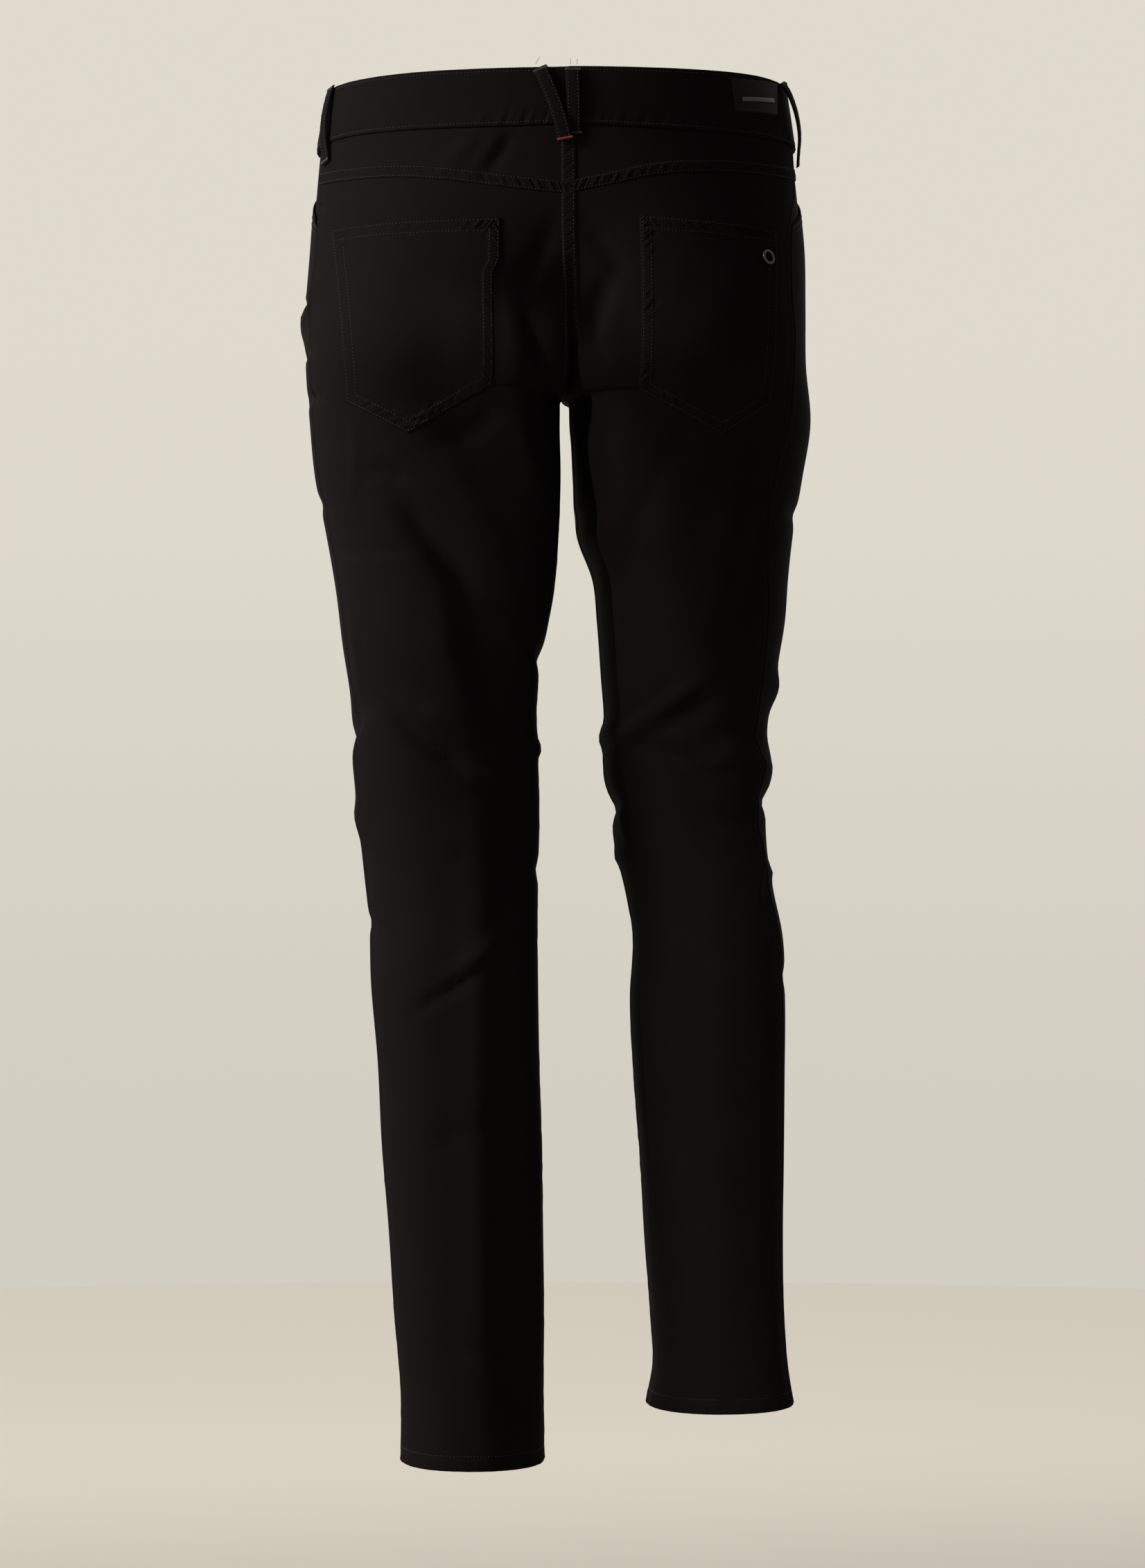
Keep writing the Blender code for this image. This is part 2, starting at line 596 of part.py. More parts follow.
def waistband_stations():
    """Stations round the band, from the lap's end in front over the left side and back to the right end,
    which steps in and runs on behind the left end: side, ring angle, shift inward."""
    level = BAND_MIDDLE
    lap = [(RIGHT, ring_angle(RIGHT, -x * MM, level, -1), 0) for x in OVERLAP_RIGHT]
    left = [(LEFT, angle, 0) for angle in np.linspace(-math.pi, math.pi, BAND_COLUMNS)]
    right = [(RIGHT, angle, 0) for angle in np.linspace(math.pi, BAND_TURNS_IN, BAND_COLUMNS - 3)[1:]]
    step = BAND_WALL + 2 * SEAM_GAP
    under = [(RIGHT, ring_angle(RIGHT, -x * MM, level, -1), share * step) for x, share in UNDERLAP_RIGHT]
    end = [(LEFT, ring_angle(LEFT, x * MM, level, -1), step) for x in UNDERLAP_LEFT]
    return lap + left + right + under + end


def waistband_face(out):
    columns = []
    for side, angle, inward in waistband_stations():
        bottom, top = band_seam(side, angle) + SEAM_GAP / 2, band_top(side, angle)
        levels = bottom + (top - bottom) * np.linspace(0, 1, BAND_ROWS)
        columns.append(cloth(side, angle, levels, out - inward))
    return np.stack(columns, 1)


def waistband():
    """The band goes round the waist once, its left end lapped over its right end at the centre front."""
    return wall("waistband", waistband_face(BAND_PROUD), waistband_face(BAND_PROUD - BAND_WALL), TWILL)


def belt_loop(name, side, top, end, rises):
    """A folded strip down the waistband that stands off where a belt goes through. The top and the end give
    its turn in degrees from the outer side and its level, the rises its distance from the cloth."""
    share = np.linspace(0, 1, len(rises))
    angles = np.radians(top[0] + (end[0] - top[0]) * share)
    levels = (top[1] + (end[1] - top[1]) * share) * MM
    line = cloth(side, angles, levels, np.array(rises) * MM)
    outward = cloth(side, angles, levels, np.array(rises) * MM + LOOP_WALL) - line
    across = np.cross(np.gradient(line, axis=0), outward)
    across *= LOOP_WIDTH / 2 / np.linalg.norm(across, axis=-1, keepdims=True)
    inner = np.stack((line - across, line + across), 1)
    return wall(name, inner + outward[:, None], inner, TWILL)


def eyelet_ring():
    """A plain metal ring that lies on the right back pocket near its side edge."""
    bpy.ops.mesh.primitive_torus_add(major_segments=24, minor_segments=8, major_radius=RING_RADIUS,
                                     minor_radius=RING_WIRE)
    ring = bpy.context.object
    on_pocket = POCKET_WALL + 2 * SEAM_GAP + RING_WIRE
    place_on_cloth(ring, *RING_PLACE, 1, on_pocket)
    return finish(ring, "eyelet_ring", STEEL)


def waist_button():
    bpy.ops.mesh.primitive_cylinder_add(vertices=28, radius=BUTTON_RADIUS, depth=BUTTON_DEPTH)
    button = bpy.context.object
    place_on_cloth(button, *BUTTON_PLACE, -1, BAND_PROUD + SEAM_GAP + BUTTON_DEPTH / 2)
    bevel = button.modifiers.new("rounded rim", "BEVEL")
    bevel.width = BUTTON_RIM
    bevel.segments = 2
    return finish(button, "waist_button", DARK_METAL)


def zip_tape():
    """The closed zip behind the placket, one flat strip across both fronts' edges."""
    near, far = ZIP_COLUMNS
    levels = np.linspace(ZIP_TOP, ZIP_END, ZIP_ROWS)[:, None]
    faces = []
    for thick in (0, ZIP_WALL):
        halves = []
        for side, columns in ((RIGHT, (-far, -near)), (LEFT, (near, far))):
            angle = ring_angle(side, np.array(columns)[None, :], levels, -1)
            halves.append(cloth(side, angle, levels, -CLOTH - 2 * SEAM_GAP - thick))
        faces.append(np.concatenate(halves, 1))
    return wall("zip_tape", *faces, TWILL)


def zip_slider():
    bpy.ops.mesh.primitive_cube_add(size=1)
    slider = bpy.context.object
    slider.data.transform(Matrix.Diagonal((SLIDER_WIDTH, SLIDER_HEIGHT, SLIDER_DEPTH, 1)))
    place_on_cloth(slider, *SLIDER_PLACE, -1, -CLOTH - 3.5 * SEAM_GAP - ZIP_WALL - SLIDER_DEPTH / 2)
    bevel = slider.modifiers.new("rounded edges", "BEVEL")
    bevel.width = SLIDER_EDGE
    bevel.segments = 2
    return finish(slider, "zip_slider", DARK_METAL)


# The garment
for side, word in ((LEFT, "left"), (RIGHT, "right")):
    panel(side, 1, "back_" + word)
    panel(side, -1, "front_" + word)
    yoke(side, "back_yoke_" + word)
    pocket_facing(side, "pocket_facing_" + word)
    pocket_name = "back_pocket_" + word
    clipped_skin(pocket_name, panel_face(side, 1), BACK_POCKETS[side], 1, SEAM_GAP, POCKET_WALL, TWILL)
clipped_skin("fly_placket", panel_face(LEFT, -1), FLY_PLACKET, -1, SEAM_GAP, POCKET_WALL, TWILL)
waistband()
zip_tape()
zip_slider()
waist_button()
for name, side, top, end, rises in BELT_LOOPS:
    belt_loop(name, side, top, end, rises)
band_face = waistband_face(BAND_PROUD)
clipped_skin("label_patch", band_face, LABEL_PATCH, 1, SEAM_GAP, PATCH_WALL, PATCH_LEATHER)
clipped_skin("label_bar", band_face, LABEL_BAR, 1, 2 * SEAM_GAP + PATCH_WALL, BAR_WALL, STEEL)
eyelet_ring()
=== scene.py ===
"""Slim trousers as worn: the sewn, creased and stitched look of every piece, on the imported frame.

Metres, +Z up, the garment's front towards -Y, the wearer's left towards +X.
"""

import math

import bmesh
import bpy
import numpy as np
from mathutils import Matrix, Vector


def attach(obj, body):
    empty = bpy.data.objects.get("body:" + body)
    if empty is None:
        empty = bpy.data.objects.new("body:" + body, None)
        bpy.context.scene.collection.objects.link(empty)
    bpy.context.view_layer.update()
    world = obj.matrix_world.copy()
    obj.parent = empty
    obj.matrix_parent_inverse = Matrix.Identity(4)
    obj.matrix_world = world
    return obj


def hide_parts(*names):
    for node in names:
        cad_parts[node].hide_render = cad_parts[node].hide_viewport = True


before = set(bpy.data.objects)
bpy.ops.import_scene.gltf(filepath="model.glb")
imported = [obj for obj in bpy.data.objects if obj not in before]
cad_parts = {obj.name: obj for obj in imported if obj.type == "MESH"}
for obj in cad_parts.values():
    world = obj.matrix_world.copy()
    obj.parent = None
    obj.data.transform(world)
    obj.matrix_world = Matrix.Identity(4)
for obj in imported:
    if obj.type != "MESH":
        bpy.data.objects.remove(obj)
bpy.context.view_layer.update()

bl_info = {
    "name": "Slim Trousers",
    "version": (1, 0, 0),
    "blender": (4, 5, 0),
    "location": "View3D > Sidebar > Trousers",
    "description": "Builds a worn pair of slim trousers, piece by piece",
    "category": "Add Mesh",
}

# Units, sides and faces: the wearer's left and right, and places seen from behind or in front
MM = 0.001
LEFT, RIGHT = 1, -1
BEHIND, IN_FRONT = 1, -1
SIDES = ((LEFT, "left"), (RIGHT, "right"))

# Form of the torso and legs: the rings' roundness, the crotch with its arch, and where legs begin
ROUNDNESS = 2.3
CROTCH_LEVEL = -223 * MM
CROTCH_DEPTH = 6 * MM
ARCH_HALF_WIDTH = 4.3 * MM
ARCH_HEIGHT = 5 * MM
ARCH_FADE = 30 * MM
ARCH_REACH = 0.55
LEG_FROM, LEG_TO = -40 * MM, -215 * MM
CREASE_FROM, CREASE_TO = -90 * MM, -218 * MM
SEAT_CURVE_TOP = -125 * MM
INSEAM_SETTLE = 90 * MM
FOLD_FACING = (-0.1, 0.45)

# Steps for the slope of the cloth, and passes for a place that is found by trying again
TURN, RISE = 0.012, 0.6 * MM
PASSES = 4

# Panels: hem levels at the back and front, slanted pocket mouth, and how their edges meet
HEM = {LEFT: (-990 * MM, -986 * MM), RIGHT: (-967 * MM, -962 * MM)}
HEM_TURN_UP = 20 * MM
MOUTH_END = -106 * MM
MOUTH_ANGLE = math.radians(-62)
FACING_END = math.radians(-74)
PANEL_ROWS = (60, 236)
PANEL_COLUMNS = 120
SIDE_LAP = 0.25 * MM
SEAM_DENT = 1.1 * MM

# Waistband: its wall, the places of the lap's end in millimetres, and columns on the left and right
BAND_PROUD = 1.0 * MM
BAND_WALL = 2.8 * MM
SEAM_GAP = 0.3 * MM
BAND_LAP = (6, 5.2, 4, 2, 0.8)
BAND_COLUMNS = (230, 196)

# Small pieces, in millimetres. An outline's edges start their puckers at multiples of the last value
POCKET_DRAWN_IN = 4.6
BAR_HALF_WIDTH = 1.6
EDGE_START = 37

# Colours and finishes. The ribs' pitch is that of the wave pattern at a scale of 1
RED_THREAD_COLOUR = (0.25, 0.008, 0.018)
LEATHER_COLOUR = (0.007, 0.0062, 0.0062)
STEEL_COLOUR = (0.115, 0.11, 0.105)
DARK_METAL_COLOUR = (0.08, 0.08, 0.085)
METAL_ROUGHNESS = 0.4
RIB_SLANT = math.radians(62)
WAVE_PITCH = 0.31
THREAD_SEED = 11

# Room: a floor, a wide curve up and a closed top, as radius and height
FLOOR_LEVEL = -1.42
FLOOR_REACH = 5.0
ROOM_CURVE = 2.4
ROOM_TOP = ((7.4, 4.0), (5.5, 6.2), (3.0, 7.2), (0.001, 7.5))
ROOM_STEPS = 72
ROOM_COLOUR = (1.0, 0.95, 0.835)
FLOOR_COLOUR = (0.35, 0.33, 0.29)
LIGHT_COLOUR = (1.0, 0.94, 0.92)
GLOW_START = -0.5

# Camera: a little to the side of straight behind
CAMERA_TURN = math.radians(4.6)
CAMERA_DISTANCE = 3.2
CAMERA_LEVEL = -0.5
CAMERA_SHIFT = 0.0115
VIEW_HALF_HEIGHT = 0.56575
SENSOR = 36

# Rows of stitching: the band's from its seam and from its top, the hem's from its edge
BAND_ROWS = (2.4 * MM, 2.6 * MM)
HEM_ROW = 11 * MM

# Rows of stitching and felled strips, in millimetres from the edge or the seam that they follow
POCKET_ROWS = (1.5, 7.2)
POCKET_HEM_ROWS = (1.6, 9.0)
MOUTH_ROWS = (2.0, 7.5)
LABEL_ROW = 1.6
YOKE_STRIP, YOKE_ROWS = (-1.5, 7.5), (-0.3, 6.3)
CENTRE_STRIP, CENTRE_ROWS = (6, -4.6), (4.9, -2.2)

# Bartacks: where along a loop, length and gap of a thread, and the loop whose lower tack is red
TACK_PLACES = (0.03, 0.97)
TACK_STITCH = (2.0 * MM, 0.1 * MM)
RED_TACKED_LOOP = "belt_loop_back_over"

# Lights: name, place, aim, width and height, spread in degrees
LIGHTS = (
    ("key", (3.28, 0.9, 1.1), (0, 0, -0.5), (1.0, 1.6), 180),
    ("strip", (1.277, 1.606, 0.091), (-0.129, -0.07, -0.62), (0.08, 0.7), 1.5),
    ("fill", (-2.2, 3.6, 0.0), (0, 0, -0.5), (1.6, 2.4), 180),
    ("back", (-1.0, -3.2, 1.2), (0, 0, -0.5), (2.0, 2.0), 180),
)

# Torso, in millimetres: level, centre back, centre front
TORSO = np.array((
    (20, 110, -98),
    (0, 112, -100),
    (-40, 117, -104),
    (-80, 124, -107),
    (-120, 129, -109),
    (-160, 131, -108),
    (-200, 128, -104),
    (-240, 120, -100),
), float) * MM

# Left leg, straight: level, outer side, inner side, back, front
LEFT_LEG = np.array((
    (20, 160, 0, 104, -90),
    (-40, 171, 0, 118, -98),
    (-80, 175, 0, 130, -103),
    (-120, 178, 0, 138, -106),
    (-160, 181, -1, 142, -105),
    (-200, 181, -2, 136, -101),
    (-240, 178, -1, 115, -98),
    (-280, 174, -2, 103, -96),
    (-320, 166, -1, 94, -94),
    (-360, 159, 2, 86, -91),
    (-400, 154, 9, 77, -87),
    (-440, 148, 14, 66, -83),
    (-480, 147, 13, 56, -79),
    (-520, 143, 12, 51, -75),
    (-560, 139, 13, 53, -69),
    (-600, 135, 14, 58, -64),
    (-640, 134, 14, 62, -60),
    (-700, 129, 13, 60, -57),
    (-760, 126, 11, 55, -56),
    (-820, 121, 10, 49, -56),
    (-880, 117, 9, 43, -57),
    (-940, 112, 9, 39, -60),
    (-990, 112, 8, 37, -63),
), float) * MM

# Right leg, stepping forward from the hip with the shin upright: level, outer side, inner side, back, front
RIGHT_LEG = np.array((
    (20, 161, 0, 104, -90),
    (-40, 170, 0, 118, -98),
    (-80, 174, 0, 130, -104),
    (-120, 177, 0, 137, -109),
    (-160, 177, 3, 138, -112),
    (-200, 178, 6, 127, -115),
    (-240, 184, 10, 99, -121),
    (-280, 180, 14, 77, -131),
    (-320, 175, 19, 60, -141),
    (-350, 173, 31, 46, -147),
    (-380, 172, 35, 33, -152),
    (-420, 167, 39, 13, -158),
    (-460, 163, 43, -12, -164),
    (-490, 168, 43, -30, -168),
    (-520, 165, 49, -42, -169),
    (-545, 165, 52, -46, -168),
    (-580, 170, 60, -45, -165),
    (-610, 176, 65, -42, -162),
    (-660, 178, 63, -40, -160),
    (-720, 178, 66, -44, -160),
    (-780, 178, 71, -51, -161),
    (-840, 178, 75, -58, -165),
    (-900, 180, 80, -66, -170),
    (-935, 183, 82, -70, -173),
    (-965, 188, 77, -73, -176),
), float) * MM

LEGS = {LEFT: LEFT_LEG, RIGHT: RIGHT_LEG}

# Centre seam, waist to crotch: level, sideways place, depth at the back, depth at the front
CENTRE_SEAM = np.array((
    (20, 0, 110, -98),
    (0, 0, 112, -100),
    (-40, 0, 117, -104),
    (-80, 0, 123, -107),
    (-120, 0, 126, -108),
    (-160, -2, 124, -106),
    (-200, -4, 117, -101),
    (-223, -5.5, 111, -97),
), float) * MM

# Side seams, as a turn in degrees from the outermost line towards the back: level, left leg, right leg
SIDE_SEAM = np.array((
    (20, 14, 14),
    (-40, 14, 17),
    (-75, 15, 24),
    (-110, 18, 38),
    (-150, 17, 41),
    (-190, 14, 38),
    (-230, 12, 45),
    (-270, 12, 52),
    (-380, 14, 48),
    (-440, 14, 43),
    (-520, 12, 35),
    (-700, 9, 25),
    (-1000, 6, 18),
), float) * (MM, 1, 1)

# Waistband lines: turn in degrees from the outer side, seam on the left and right, top on the left and right
BAND_LINES = np.array((
    (-180, -57, -57, -17, -17),
    (-90, -53, -52, -13, -11),
    (0, -47, -45, -6, -2),
    (45, -44.5, -43.5, -4, 1),
    (110, -43, -42, -1.5, 0.5),
    (180, -39.5, -39.5, 0, 0),
), float) * (math.pi / 180, MM, MM, MM, MM)

# Seam of the back yoke: turn in degrees from the outer side, level on the left, level on the right
YOKE_SEAM = np.array((
    (0, -73, -66),
    (42, -75, -69.5),
    (80, -77, -70.5),
    (106, -83, -75),
    (125, -86, -81),
    (180, -90, -90),
), float) * (math.pi / 180, MM, MM)

# Folds, placed as seen from the named side, in millimetres: leg, seen from, start across and level, middle
# across and level, end across and level, half width, height (a trough is below zero), and the lower side's
# width as a share of the upper side's
FOLDS = (
    (LEFT, "BACK", 33, -156, 22, -190, 8, -226, 8, -5.5, 1.0),
    (LEFT, "BACK", 43, -166, 40, -206, 36, -240, 9, 3.1, 1.0),
    (LEFT, "BACK", 46, -238, 60, -250, 86, -262, 9, -4.2, 1.0),
    (LEFT, "BACK", 101, -259, 57, -301, 43, -368, 12, 4.4, 1.6),
    (LEFT, "BACK", 121, -294, 95, -335, 55, -374, 10, -5.5, 1.0),
    (LEFT, "BACK", 92, -372, 84, -416, 52, -477, 11, 3.6, 1.5),
    (LEFT, "BACK", 72, -368, 60, -410, 50, -446, 9, -3.1, 1.0),
    (LEFT, "BACK", 143, -282, 133, -277, 110, -288, 7, -2.1, 1.0),
    (LEFT, "BACK", 168, -336, 140, -338, 108, -338, 5, -1.2, 0.5),
    (LEFT, "BACK", 130, -441, 103, -474, 59, -492, 7, -5.4, 0.7),
    (LEFT, "BACK", 106, -444, 80, -458, 48, -474, 9, 5.2, 0.8),
    (LEFT, "BACK", 61, -494, 42, -495, 18, -490, 4.5, 2.9, 0.8),
    (LEFT, "BACK", 37, -238, 29, -268, 15, -299, 8, 2.6, 1.0),
    (LEFT, "BACK", 47, -381, 37, -396, 26, -413, 6, 2.3, 1.0),
    (LEFT, "BACK", 149, -380, 146, -405, 145, -432, 3.5, 1.6, 1.0),
    (LEFT, "BACK", 57, -500, 62, -700, 54, -985, 15, 4.4, 1.0),
    (LEFT, "BACK", 106, -663, 84, -648, 58, -632, 4.5, -3.1, 0.6),
    (LEFT, "BACK", 86, -640, 50, -616, 20, -592, 6, 3.1, 0.6),
    (LEFT, "BACK", 64, -46, 74, -62, 90, -76, 6, 1.8, 1.0),
    (LEFT, "BACK", 40, -48, 50, -64, 60, -78, 5, -2, 1.0),
    (LEFT, "BACK", 48, -46, 57, -62, 68, -76, 5, 1.6, 1.0),
    (LEFT, "OUT", -30, -178, 20, -172, 70, -150, 10.3, 3.5, 1.0),
    (LEFT, "OUT", -60, -478, -10, -470, 36, -446, 9.5, -3.8, 0.8),
    (LEFT, "OUT", -40, -520, 0, -525, 30, -540, 10.3, 2.9, 1.0),
    (LEFT, "IN", -50, -420, -5, -416, 45, -400, 10.3, -3.8, 0.8),
    (LEFT, "FRONT", 12, -200, 60, -186, 128, -168, 9.5, -4.9, 0.7),
    (LEFT, "FRONT", 16, -226, 70, -220, 140, -214, 9.5, 4.1, 0.8),
    (LEFT, "FRONT", 22, -254, 70, -262, 120, -290, 11.2, -3.8, 1.0),
    (LEFT, "FRONT", 130, -462, 90, -478, 34, -470, 9.5, 4.1, 0.7),
    (LEFT, "FRONT", 124, -560, 80, -577, 28, -562, 10.3, -3.8, 0.8),
    (LEFT, "FRONT", 100, -905, 62, -925, 18, -910, 8.6, -2.6, 1.0),
    (RIGHT, "BACK", -28, -148, -14, -174, -3, -204, 8, -5.0, 1.0),
    (RIGHT, "BACK", -22, -168, -26, -200, -40, -236, 11, 3.1, 1.0),
    (RIGHT, "BACK", -46, -226, -39, -283, -34, -354, 8, 4.6, 1.0),
    (RIGHT, "BACK", -78, -260, -56, -296, -43, -354, 10, -5.0, 1.0),
    (RIGHT, "BACK", -124, -282, -118, -361, -102, -420, 15, 4.2, 1.0),
    (RIGHT, "BACK", -143, -300, -139, -361, -122, -425, 9, -2.9, 1.0),
    (RIGHT, "BACK", -109, -423, -77, -445, -42, -481, 8, 8.0, 0.45),
    (RIGHT, "BACK", -118, -436, -95, -456, -72, -462, 7, -5.0, 1.0),
    (RIGHT, "BACK", -48, -472, -74, -471, -106, -487, 4, -5.5, 0.7),
    (RIGHT, "BACK", -78, -460, -92, -470, -102, -481, 6, 2.9, 1.0),
    (RIGHT, "BACK", -104, -466, -131, -463, -162, -467, 9, -4.4, 0.8),
    (RIGHT, "BACK", -100, -488, -130, -478, -166, -489, 5, 4.7, 0.8),
    (RIGHT, "BACK", -70, -492, -90, -506, -106, -545, 12, 3.1, 1.0),
    (RIGHT, "BACK", -45, -486, -52, -522, -62, -550, 3.5, 2.3, 1.0),
    (RIGHT, "BACK", -112, -524, -140, -520, -170, -534, 9, -2.9, 0.8),
    (RIGHT, "BACK", -160, -538, -155, -566, -152, -595, 3.5, 2.1, 1.0),
    (RIGHT, "BACK", -119, -515, -119, -700, -129, -962, 15, 4.4, 1.0),
    (RIGHT, "BACK", -72, -600, -100, -586, -150, -594, 12, -1.3, 1.0),
    (RIGHT, "OUT", -20, -420, -80, -440, -130, -436, 10.3, 4.1, 1.0),
    (RIGHT, "OUT", -50, -505, -100, -520, -150, -512, 9.5, -4.6, 0.8),
    (RIGHT, "IN", -30, -452, -80, -470, -130, -466, 9.5, 4.1, 0.8),
    (RIGHT, "IN", -50, -504, -100, -524, -150, -520, 9.5, -4.3, 0.8),
    (RIGHT, "FRONT", -10, -198, -70, -182, -150, -148, 9.5, -6.4, 0.7),
    (RIGHT, "FRONT", -16, -224, -80, -212, -160, -186, 10.3, 5.5, 0.8),
    (RIGHT, "FRONT", -24, -256, -80, -250, -140, -232, 10.3, -4.3, 1.0),
    (RIGHT, "FRONT", -76, -560, -120, -578, -160, -566, 10.3, -3.8, 0.8),
    (RIGHT, "FRONT", -84, -880, -126, -900, -168, -884, 9.5, -2.9, 1.0),
)

# Finer creases, in the same columns
CREASES = (
    (LEFT, "BACK", 70, -506, 45, -504, 14, -498, 3.5, -2.5, 0.6),
    (LEFT, "BACK", 60, -430, 50, -436, 36, -440, 6, 1.7, 1.0),
    (LEFT, "BACK", 40, -560, 60, -548, 84, -552, 7, -1.5, 1.0),
    (LEFT, "BACK", 100, -760, 70, -744, 30, -740, 9, -1.4, 1.0),
    (LEFT, "BACK", 90, -900, 60, -908, 24, -900, 8, -1.3, 1.0),
    (LEFT, "BACK", 12, -112, 22, -134, 34, -158, 7, -2, 1.0),
    (LEFT, "BACK", 150, -244, 146, -272, 150, -306, 4, 1.4, 1.0),
    (RIGHT, "BACK", -120, -482, -134, -472, -148, -476, 4, 1.7, 0.7),
    (RIGHT, "BACK", -12, -112, -26, -130, -40, -150, 7, -1.7, 1.0),
    (RIGHT, "BACK", -96, -700, -130, -690, -160, -700, 8, -1.5, 1.0),
    (RIGHT, "BACK", -100, -842, -130, -832, -160, -838, 9, -1.4, 1.0),
    (RIGHT, "BACK", -70, -640, -84, -670, -90, -710, 6, 1.3, 1.0),
    (RIGHT, "OUT", 40, -300, -10, -310, -70, -300, 6.9, -2.2, 1.0),
    (RIGHT, "OUT", -60, -560, -100, -572, -140, -560, 6, 2, 0.8),
    (RIGHT, "OUT", -70, -640, -110, -650, -140, -640, 6.9, -1.9, 1.0),
    (LEFT, "OUT", 14, -94, 34, -91, 56, -94, 3.4, -3.2, 1.0),
    (LEFT, "OUT", -6, -158, 24, -162, 60, -158, 3.9, -4.1, 0.7),
    (LEFT, "OUT", -6, -196, 30, -192, 64, -196, 3.9, -3.2, 0.8),
    (LEFT, "OUT", -6, -226, 24, -224, 64, -228, 4.3, -3.2, 1.0),
    (LEFT, "OUT", -40, -300, 0, -296, 40, -304, 6, -1.9, 1.0),
    (LEFT, "OUT", -30, -602, 0, -596, 30, -604, 6, -1.9, 1.0),
    (LEFT, "IN", -30, -470, 0, -480, 30, -470, 6, 2.6, 0.8),
    (LEFT, "IN", -40, -560, 0, -566, 30, -556, 6.9, -2, 1.0),
    (LEFT, "FRONT", 8, -178, 46, -158, 96, -140, 6, -2.6, 0.8),
    (LEFT, "FRONT", 20, -476, 60, -492, 116, -486, 4.3, -3.2, 0.7),
    (LEFT, "FRONT", 40, -540, 76, -548, 110, -536, 5.2, 1.9, 0.8),
    (LEFT, "FRONT", 90, -300, 80, -380, 72, -440, 10.3, 2.3, 1.0),
    (RIGHT, "FRONT", -8, -176, -50, -150, -110, -128, 6, -2.9, 0.8),
    (RIGHT, "FRONT", -60, -500, -100, -512, -150, -500, 5.2, 2.6, 0.8),
    (RIGHT, "FRONT", -80, -600, -120, -612, -160, -604, 5.2, -2, 0.8),
    (RIGHT, "FRONT", -90, -290, -96, -370, -100, -440, 10.3, 2.3, 1.0),
    (RIGHT, "IN", -60, -548, -100, -560, -150, -552, 6, 1.9, 0.8),
    (RIGHT, "IN", 40, -300, 0, -312, -60, -306, 6.9, -2, 1.0),
)

# Outlines as seen from behind or in front, in millimetres, across and level: top edge and bottom edge
POCKETS = {
    LEFT: (((164, -111), (49, -108)), ((154, -233), (112, -256), (52, -222))),
    RIGHT: (((-148, -111), (-48, -105)), ((-144, -232), (-110, -254), (-50, -224))),
}
LABEL = (((-152, -2), (-115, -3)), ((-151, -25), (-118, -27)))
LABEL_BAR = ((-123, -18), (-148, -15.4))
PLACKET = (((0.3, -58.4), (36, -57.4)), ((0.3, -171), (12, -169), (24, -163), (32, -154), (36, -142)))

# Belt loops: name, leg, top turn and level, end turn and level, rises down the loop
BELT_LOOPS = (
    ("belt_loop_back_under", RIGHT, (165, -1.5), (164, -49), (1.5, 2.6, 3.2, 3.2, 2.6, 1.5, 0.5)),
    ("belt_loop_back_over", LEFT, (136, -1.5), (163, -54), (1.5, 2.8, 3.4, 3.8, 3.8, 3.4, 2.6)),
    ("belt_loop_left", LEFT, (19, -5), (25, -61), (1.5, 3.0, 3.8, 4.0, 3.4, 2.0, 0.6)),
    ("belt_loop_right", RIGHT, (27, 0.5), (15, -58), (1.5, 4.6, 6.0, 6.2, 5.2, 2.8, 0.6)),
    ("belt_loop_front_left", LEFT, (-96, -14), (-96, -70), (1.5, 2.8, 3.6, 3.6, 3.0, 1.8, 0.6)),
    ("belt_loop_front_right", RIGHT, (-96, -12), (-96, -69), (1.5, 2.8, 3.6, 3.6, 3.0, 1.8, 0.6)),
)

# Places in millimetres, across and level: the ring on the right pocket and the waist button
EYELET_PLACE = (-138.7, -132)
BUTTON_PLACE = (13, -37)

# Loose thread ends: side, then bends as a turn in degrees and a level in millimetres
THREAD_ENDS = (
    (LEFT, (133, 0.5), (134.5, 3.5), (136, 5.5)),
    (RIGHT, (170, 0.5), (171, 3.0), (172, 5.0)),
    (RIGHT, (158, 0.5), (157, 2.5), (157.5, 4.2)),
)


def smooth(table, column, level):
    """Value of one column at a level: a cubic through the rows, with the slopes of their neighbours."""
    rows = table[np.argsort(table[:, 0])]
    levels, values = rows[:, 0], rows[:, column]
    slopes = np.gradient(values, levels)
    level = np.clip(np.asarray(level, float), levels[0], levels[-1])
    row = np.clip(np.searchsorted(levels, level) - 1, 0, len(levels) - 2)
    span = levels[row + 1] - levels[row]
    t = (level - levels[row]) / span
    start = (2 * t**3 - 3 * t**2 + 1) * values[row] + (t**3 - 2 * t**2 + t) * span * slopes[row]
    return start + (3 * t**2 - 2 * t**3) * values[row + 1] + (t**3 - t**2) * span * slopes[row + 1]


def ease(value, start, end):
    """0 at the start, 1 at the end, with no corner at either."""
    t = np.clip((value - start) / (end - start), 0, 1)
    return t * t * (3 - 2 * t)


def bell(value, width):
    """1 in the middle, falling off to either side as a bell curve."""
    return np.exp(-((value / width) ** 2))


def uneven(place, seed):
    """A wandering value between about -1 and 1: three sines whose lengths share no common measure."""
    waves = ((1, 1), (1.73, 2.1), (2.91, 0.7))
    return sum(np.sin(rate * place + shift * seed) for rate, shift in waves) / 2.2


